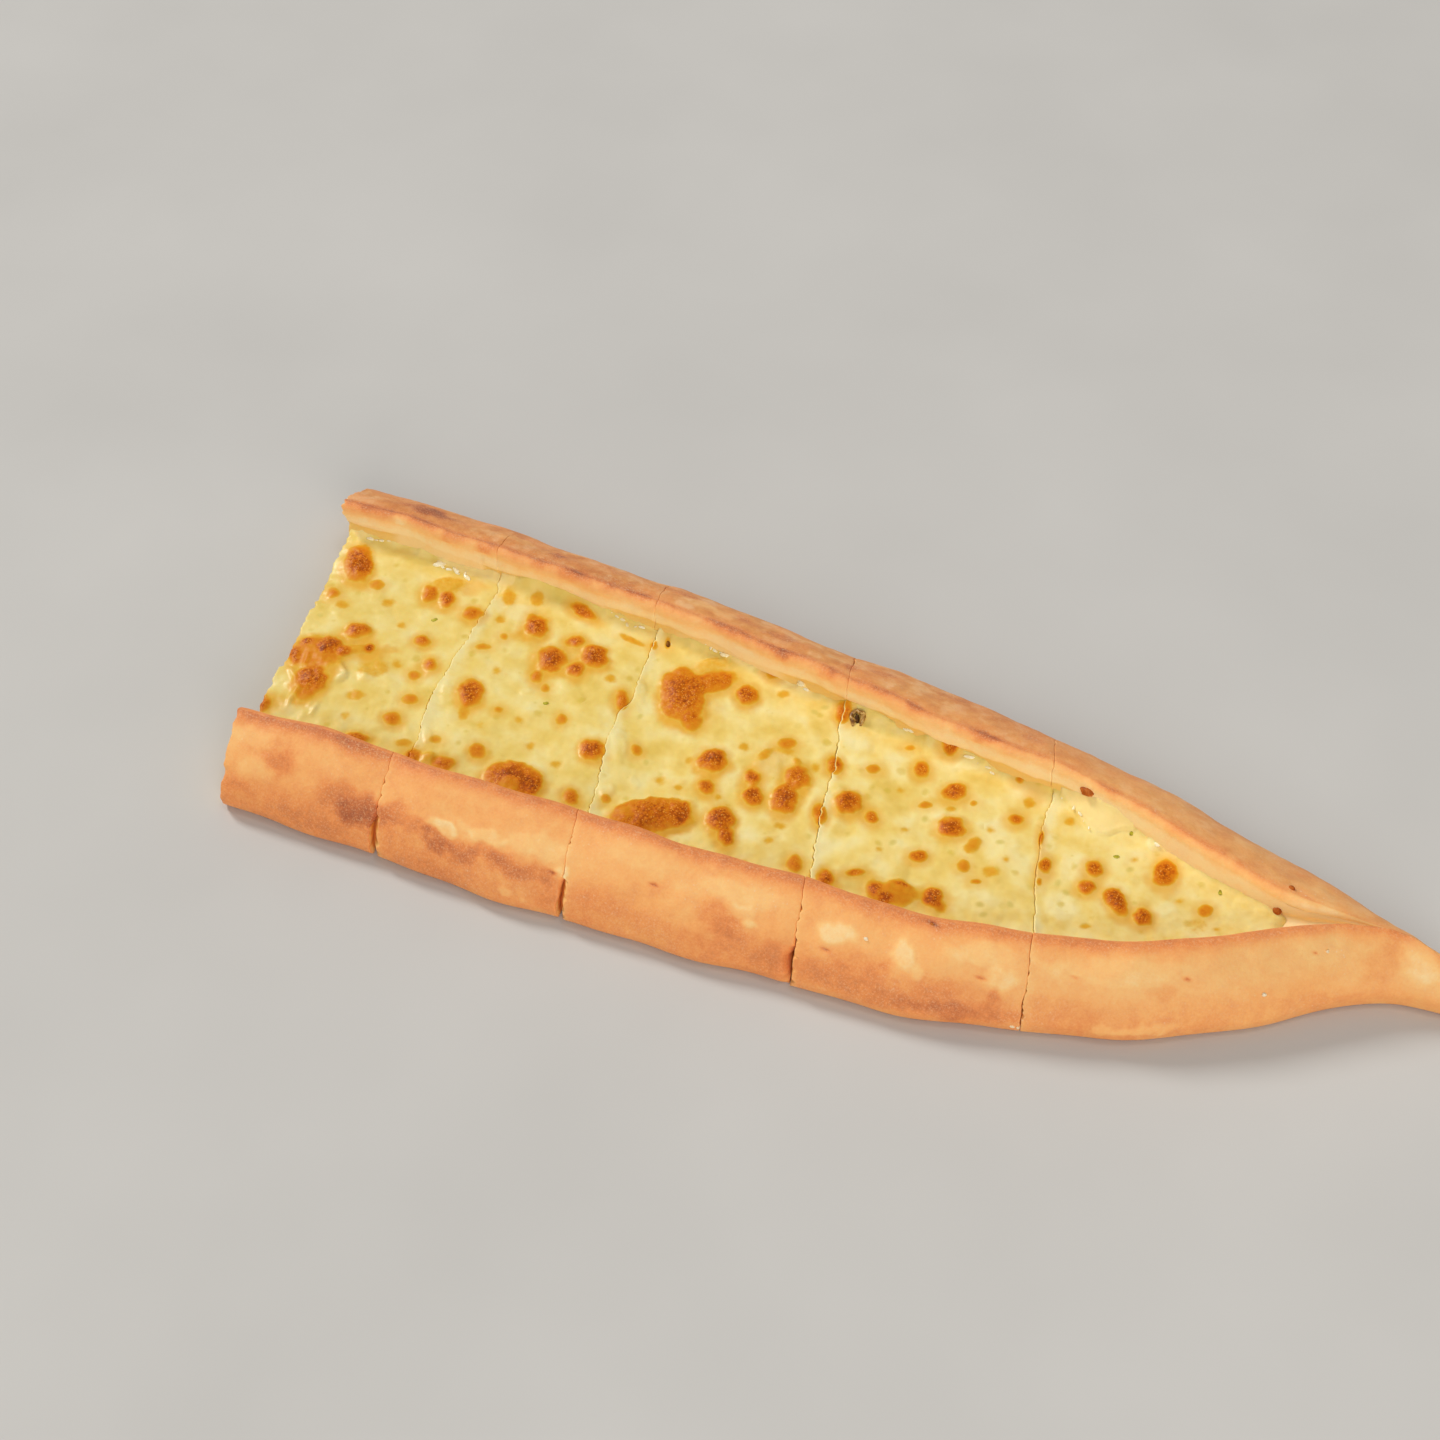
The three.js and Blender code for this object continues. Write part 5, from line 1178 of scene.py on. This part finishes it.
    # --- down the sides and underneath
    bottom = np.minimum(s["floor"] + 0.10, z.min(1) - 0.5)
    down = np.linspace(0, 1, CHEESE_SIDE + 1)[1:]
    lower_f = np.minimum(wall_y(s["wF"], bottom + 1.6), s["wF"][2] + 0.2)
    lower_b = np.maximum(wall_y(s["wB"], bottom + 1.6), s["wB"][2] - 0.2)
    verts, count = [p.reshape(-1, 3)], rows * cols
    layer = {"brown": [brown.ravel()], "glow": [glow.ravel()], "oil": [np.clip(oil, 0, 1).ravel()], "pale": [pale.ravel()], "shadow_and_olive": [shadow_and_olive.ravel()], "cream": [cream.ravel()]}
    top = np.arange(rows * cols).reshape(rows, cols)
    polys = [np.stack([top[:-1, :-1], top[1:, :-1], top[1:, 1:], top[:-1, 1:]], -1).reshape(-1, 4)]

    def more(points):
        nonlocal count
        ids = count + np.arange(points.shape[0] * points.shape[1]).reshape(points.shape[:2])
        verts.append(points.reshape(-1, 3))
        size = ids.size
        for key, value in (("brown", 0.0), ("glow", 0.0), ("oil", 0.35), ("pale", 0.15), ("shadow_and_olive", 0.0), ("cream", 0.0)):
            layer[key].append(np.full(size, value))
        count += size
        return ids

    def side(k, lower):
        e = p[:, k]
        q = np.stack([np.broadcast_to(e, e.shape)] * CHEESE_SIDE, 1).copy()
        q[..., 1] = e[:, None, 1] + (lower[:, None] - e[:, None, 1]) * down[None, :]
        q[..., 2] = e[:, None, 2] + (bottom[:, None] - e[:, None, 2]) * down[None, :]
        ids = more(q)
        return np.concatenate([top[:, k][:, None], ids], 1)      # rows x (side + 1)

    fs, bs = side(0, lower_f), side(-1, lower_b)
    polys.append(np.stack([fs[:-1, :-1], fs[:-1, 1:], fs[1:, 1:], fs[1:, :-1]], -1).reshape(-1, 4))
    polys.append(np.stack([bs[:-1, :-1], bs[1:, :-1], bs[1:, 1:], bs[:-1, 1:]], -1).reshape(-1, 4))

    def face(row, sign):
        e = p[row]
        q = np.stack([e[1:-1]] * CHEESE_SIDE, 1).copy()
        lo_z = bottom[row]
        t = np.linspace(0, 1, cols)[1:-1]
        lo_z = lo_z - 0.016 * s["width"][row] * t * (1 - t)
        q[..., 2] = e[1:-1, None, 2] + (lo_z[:, None] - e[1:-1, None, 2]) * down[None, :]
        lo_y = lower_f[row] + (lower_b[row] - lower_f[row]) * t
        q[..., 1] = e[1:-1, None, 1] + (lo_y[:, None] - e[1:-1, None, 1]) * down[None, :]
        belly = np.sin(np.pi * np.clip(down, 0, 1))
        if i == 0 and row == 0:
            q[..., 0] += sign * (0.12 + 0.22 * fbm(q, 3.0, 170, 2)) * belly[None, :]
        else:
            h = (half if sign > 0 else half2)[row][1:-1, None]
            q[..., 0] -= sign * (h - 0.012) * smooth(down / 0.35)[None, :]
        ids = more(q)
        if not (i == 0 and row == 0):
            # cut faces: painted shadow, olive with a touch of brown, seen as the knife line
            layer["brown"][-1] += 0.05
            layer["shadow_and_olive"][-1] += 1.0
        grid = np.empty((cols, CHEESE_SIDE + 1), np.int64)
        grid[:, 0] = top[row]
        grid[0, 1:], grid[-1, 1:] = fs[row, 1:], bs[row, 1:]
        grid[1:-1, 1:] = ids
        quads = np.stack([grid[:-1, :-1], grid[1:, :-1], grid[1:, 1:], grid[:-1, 1:]], -1).reshape(-1, 4)
        polys.append(quads if sign > 0 else quads[:, ::-1])
        return grid[:, -1]

    first, last = face(0, 1.0), face(rows - 1, -1.0)
    f, b = fs[:, -1], bs[:, -1]
    polys.append(np.stack([f[1:-2], b[1:-2], b[2:-1], f[2:-1]], -1))
    polys.append(np.concatenate([first, [b[1], f[1]]])[None, :])
    polys.append(np.concatenate([last[::-1], [f[-2], b[-2]]])[None, :])
    return make_mesh("cheese_slice_top_%d" % (i + 1), np.concatenate(verts), polys, {k: np.concatenate(w) for k, w in layer.items()}, material)


# ================================================================ small things
def ball(radius, seed, rough=0.25, rings=9, around=14):
    """A lumpy closed ball; radius is three half lengths in mm."""
    th = np.linspace(0, np.pi, rings + 1)[1:-1]
    ph = np.linspace(0, 2 * np.pi, around, endpoint=False)
    d = np.stack([np.sin(th)[:, None] * np.cos(ph), np.sin(th)[:, None] * np.sin(ph), np.cos(th)[:, None] * np.ones(around)], -1).reshape(-1, 3)
    d = np.concatenate([[[0, 0, 1.0]], d, [[0, 0, -1.0]]])
    d = d * (1 + rough * fbm(d, 0.8, seed, 2))[:, None]
    tris = []
    n = len(th)
    for k in range(around):
        m = (k + 1) % around
        tris.append((0, 1 + k, 1 + m))
        for r in range(n - 1):
            a, b = 1 + r * around + k, 1 + r * around + m
            tris += [(a, a + around, b + around), (a, b + around, b)]
        tris.append((len(d) - 1, 1 + (n - 1) * around + m, 1 + (n - 1) * around + k))
    return d * np.asarray(radius), np.array(tris)


def turned(points, rx, ry, rz):
    m = Matrix.Rotation(rz, 3, "Z") @ Matrix.Rotation(ry, 3, "Y") @ Matrix.Rotation(rx, 3, "X")
    return points @ np.array(m).T


def joined(name, items, material, slot):
    """items are (points in the part frame, faces)."""
    verts, polys, n = [], [], 0
    for points, faces in items:
        verts.append(points)
        polys.append(faces + n)
        n += len(points)
    by_size = {}
    for f in polys:
        by_size.setdefault(f.shape[1], []).append(f)
    ob = make_mesh(name, np.concatenate(verts) + CENTRE, [np.concatenate(v) for v in by_size.values()], {}, material)
    on_root(ob, slot)
    return ob


def cheese_at(x, y):
    """Height of the cheese at a place of the part frame."""
    pts = np.concatenate(tops)
    k = np.argmin((pts[:, 0] - CENTRE[0] - x) ** 2 + (pts[:, 1] - CENTRE[1] - y) ** 2)
    return float(pts[k, 2])


def leaf(length, width, seed):
    """A scrap of leaf: a thin closed plate with an uneven outline, slightly curled."""
    n = 10
    a = np.linspace(0, 2 * np.pi, n, endpoint=False)
    r = 1 + 0.35 * curve(a, seed, 1.3)
    out = np.stack([0.5 * length * np.cos(a) * r, 0.5 * width * np.sin(a) * r, np.zeros(n)], -1)
    rings = [out * k for k in (1.0, 0.55)]
    up = np.concatenate(rings + [np.zeros((1, 3))])
    up[:, 2] = 0.10 * (1 - (np.hypot(up[:, 0] / length, up[:, 1] / width) * 2) ** 2) + 0.25 * up[:, 0] ** 2 / length + 0.06
    dn = up.copy()
    dn[:, 2] -= 0.12
    tris, m = [], len(up)
    for k in range(n):
        q = (k + 1) % n
        tris += [(k, q, n + q), (k, n + q, n + k), (n + k, n + q, 2 * n)]
        tris += [(m + k, m + n + q, m + q), (m + k, m + n + k, m + n + q), (m + n + k, m + 2 * n, m + n + q)]
        tris += [(k, m + k, m + q), (k, m + q, q)]
    return np.concatenate([up, dn]), np.array(tris)


def small_things():
    rng = np.random.default_rng(20)
    # flecks of green herb on the cheese
    green = []
    for k, (x, y, fresh) in enumerate(FLECKS[FLECKS[:, 2] >= 0.65]):
        pts, tris = leaf(0.95 + 0.6 * fresh, 0.65 + 0.45 * fresh, 200 + k)
        pts = turned(pts, rng.uniform(-0.2, 0.2), rng.uniform(-0.2, 0.2), rng.uniform(0, 6.28))
        green.append((pts + np.array([x, y, cheese_at(x, y) - 0.06]), tris))
    herb = bit_material("herb_green", [(0.3, (146, 136, 28)), (0.5, (182, 172, 50)), (0.7, (208, 194, 86))], 1.2, 0.75)
    joined("herb_flecks", green, herb, "cheese")

    # a curled dark scrap at the back rim: an open ring, with a dark ball standing in for the shadow in its hole
    n, m = 30, 12
    a = np.linspace(0, 2 * np.pi, n, endpoint=False)
    t = np.linspace(0, 2 * np.pi, m, endpoint=False)
    wob = 1 + 0.16 * np.sin(3 * a + 0.6) + 0.08 * np.sin(5 * a)
    big = np.stack([1.25 * wob * np.cos(a), 2.05 * wob * np.sin(a), 0.22 * np.sin(2 * a)], -1)
    tube = 0.52 + 0.12 * np.sin(2 * a + 1.0)
    pts = big[:, None, :] + tube[:, None, None] * (np.cos(t)[None, :, None] * np.stack([np.cos(a), np.sin(a), 0 * a], -1)[:, None, :]
                                                   + np.sin(t)[None, :, None] * np.array([0, 0, 1.1]))
    pts = pts + 0.10 * fbm(pts, 0.7, 210, 2)[..., None]
    ids = np.arange(n * m).reshape(n, m)
    quads = np.stack([ids, np.roll(ids, -1, 0), np.roll(np.roll(ids, -1, 0), -1, 1), np.roll(ids, -1, 1)], -1).reshape(-1, 4)
    x, y = -3.6, 23.0
    lay = lambda q: turned(q, 0.45, -0.25, 0.28) + np.array([x, y, cheese_at(x, y) + 0.30])
    ring = bit_material("scrap_olive", [(0.3, (96, 58, 14)), (0.5, (158, 112, 44)), (0.68, (226, 188, 112))], 1.0, 0.34, 0.4)
    joined("dark_scrap_ring", [(lay(pts.reshape(-1, 3)), quads)], ring, "cheese")
    heart, tris = ball((0.50, 1.25, 0.30), 211, 0.3)
    hole_shadow = bit_material("scrap_hole_shadow", [(0.3, (52, 30, 8)), (0.55, (84, 52, 18)), (0.75, (134, 92, 40))], 1.1, 0.6)
    joined("dark_scrap_heart", [(lay(heart), tris)], hole_shadow, "cheese")

    # beads of melted fat where the filling meets the back wall, coloured near-white as painted glints
    fat = []
    for k, (xa, ya, za, xb, yb, zb, count, size) in enumerate(FAT):
        for m in range(int(count)):
            w = (m + 0.5 * rng.uniform(0.4, 1.6)) / count
            x, y, z = xa + (xb - xa) * w + rng.normal(0, 0.25), ya + (yb - ya) * w + rng.normal(0, 0.22), za + (zb - za) * w
            r = 1.15 * size * rng.choice([0.4, 0.7, 1.0, 1.4])
            pts, tris = ball((1.7 * r, 0.75 * r, 0.36 * r), 240 + 10 * k + m, 0.40, 8, 12)
            turn = math.atan2(yb - ya, xb - xa) + rng.normal(0, 0.5)
            fat.append((turned(pts, 0.35, 0.0, turn) + np.array([x, y - 0.10, cheese_at(x, y) - 0.02 + 0.10 * r]), tris))
    gloss = bit_material("fat_glint_beads", [(0.3, (252, 232, 172)), (0.5, (254, 242, 198)), (0.7, (255, 250, 224))], 0.8, 0.22, 0.55)
    joined("fat_glint_beads", fat, gloss, "cheese")

    # dark little marks: a dark ball standing in for the shadow of a hole in the filling, and a dot on the wall
    marks = []
    for k, (x, y, z, r, turn) in enumerate([(-52.8, 27.7, 0.0, (1.1, 0.55, 0.30), -65), (-51.0, 30.5, 13.7, (0.5, 0.28, 0.22), 20)]):
        pts, tris = ball(r, 250 + k, 0.25)
        marks.append((turned(pts, 0.3, 0.0, math.radians(turn)) + np.array([x, y, z if z else cheese_at(x, y) + 0.08]), tris))
    hole_shadow_and_dot = bit_material("hole_shadow_and_dot_brown", [(0.3, (88, 48, 8)), (0.5, (124, 74, 16)), (0.72, (176, 120, 36))], 0.9, 0.6)
    joined("dark_specks", marks, hole_shadow_and_dot, "cheese")

    # brown bubbles on the lip and the fold of the crust
    brown = []
    for k, (x, y, z, r) in enumerate([(51.1, 20.8, 14.0, (1.75, 1.35, 0.8)), (97.3, 8.7, 10.1, (1.0, 0.9, 0.7)), (98.7, 12.7, 13.9, (0.75, 0.5, 0.45)),
                                      (33.4, -28.7, 16.2, (0.5, 0.35, 0.25))]):
        pts, tris = ball(r, 220 + k, 0.22)
        brown.append((turned(pts, 0.3, 0.0, -0.35) + np.array([x, y, z]), tris))
    bubble = bit_material("bubble_brown", [(0.3, (148, 70, 16)), (0.5, (182, 96, 32)), (0.72, (212, 134, 64))], 0.8, 0.55)
    joined("crust_bubbles", brown, bubble, "crust")

    # crumbs: at the feet of the cuts and a few grains on the crust
    bits = []
    for k, (x, y, z, r) in enumerate([(21.7, -35.7, 13.35, 0.50), (100.5, -12.7, 9.1, 0.55), (109.8, -0.3, 13.6, 0.40), (55.0, -36.6, 2.9, 0.75), (56.1, -36.2, 2.5, 0.60)]):
        pts, tris = ball((r, 0.8 * r, 0.6 * r), 230 + k, 0.35)
        bits.append((turned(pts, 0.5, 0.2, 0.4 * k) + np.array([x, y, z]), tris))
    pale = bit_material("crumb_pale", [(0.3, (236, 206, 158)), (0.5, (246, 224, 184)), (0.7, (252, 238, 208))], 1.5, 0.7)
    joined("crust_grains", bits, pale, "crust")
    return


# ============================================================== put it together
crust, cheese = crust_material(), cheese_material()
for i in range(5):
    on_root(dough_slice(i, crust), "crust", "dough_slice_%d" % (i + 1))
for i in range(5):
    on_root(cheese_slice(i, cheese), "cheese", "cheese_slice_%d" % (i + 1))
small_things()

# ================================================================ floor, light
s = Shade("floor_pale")
tone = s.ramp(s.noise(0.012, 3.0, 0.5), [(0.3, (200, 198, 194)), (0.7, (206, 204, 200))])
s.link(tone, s.bsdf.inputs["Base Color"])
s.bsdf.inputs["Roughness"].default_value = 0.85
s.bsdf.inputs["Specular IOR Level"].default_value = 0.15
size = 4.0
me = bpy.data.meshes.new("floor")
me.from_pydata([(-size, -size, -0.0001), (size, -size, -0.0001), (size, size, -0.0001), (-size, size, -0.0001)], [], [(0, 1, 2, 3)])
me.materials.append(s.mat)
floor = bpy.data.objects.new("floor", me)
bpy.context.scene.collection.objects.link(floor)


def area(name, place, aim, size, power, colour):
    data = bpy.data.lights.new(name, "AREA")
    data.shape = "DISK"
    data.size = size
    data.energy = power
    data.color = colour
    ob = bpy.data.objects.new(name, data)
    back = np.array(place, float) - np.array(aim, float)
    back = back / np.linalg.norm(back)
    side = np.cross([0.0, 1.0, 0.0] if abs(back[2]) > 0.95 else [0.0, 0.0, 1.0], back)
    side = side / np.linalg.norm(side)
    up = np.cross(back, side)
    m = Matrix(np.array([np.append(side, 0), np.append(up, 0), np.append(back, 0), [0, 0, 0, 1]]).T.tolist())
    m.translation = place
    ob.matrix_world = m
    bpy.context.scene.collection.objects.link(ob)


area("key", (-4.2, 1.6, 3.2), (0, 0, 0), 1.3, 190.0, (1.0, 0.99, 0.97))
area("fill", (0.9, -1.5, 0.78), (0, 0, 0), 1.2, 17.5, (1.0, 0.97, 0.93))
area("top", (0.25, -0.05, 1.40), (0, 0, 0), 0.28, 1.5, (1.0, 0.99, 0.97))
world = bpy.data.worlds.new("soft_room")
world.use_nodes = True
world.node_tree.nodes["Background"].inputs[0].default_value = (1.0, 0.985, 0.965, 1.0)
world.node_tree.nodes["Background"].inputs[1].default_value = 0.33
bpy.context.scene.world = world
bpy.context.scene.view_settings.view_transform = "Standard"

# camera at the photograph's viewing angle
cam = bpy.data.cameras.new("camera")
cam.sensor_width = 36.0
cam.lens = 60.0
cam.clip_start = 0.01
ob = bpy.data.objects.new("camera", cam)
ob.matrix_world = Matrix((
    (0.9135455, -0.3022642, 0.2721579, 0.115489),
    (0.4067366, 0.6788966, -0.6112766, -0.320534),
    (0.0, 0.6691306, 0.7431448, 0.4123),
    (0.0, 0.0, 0.0, 1.0)))
bpy.context.scene.collection.objects.link(ob)
bpy.context.scene.camera = ob
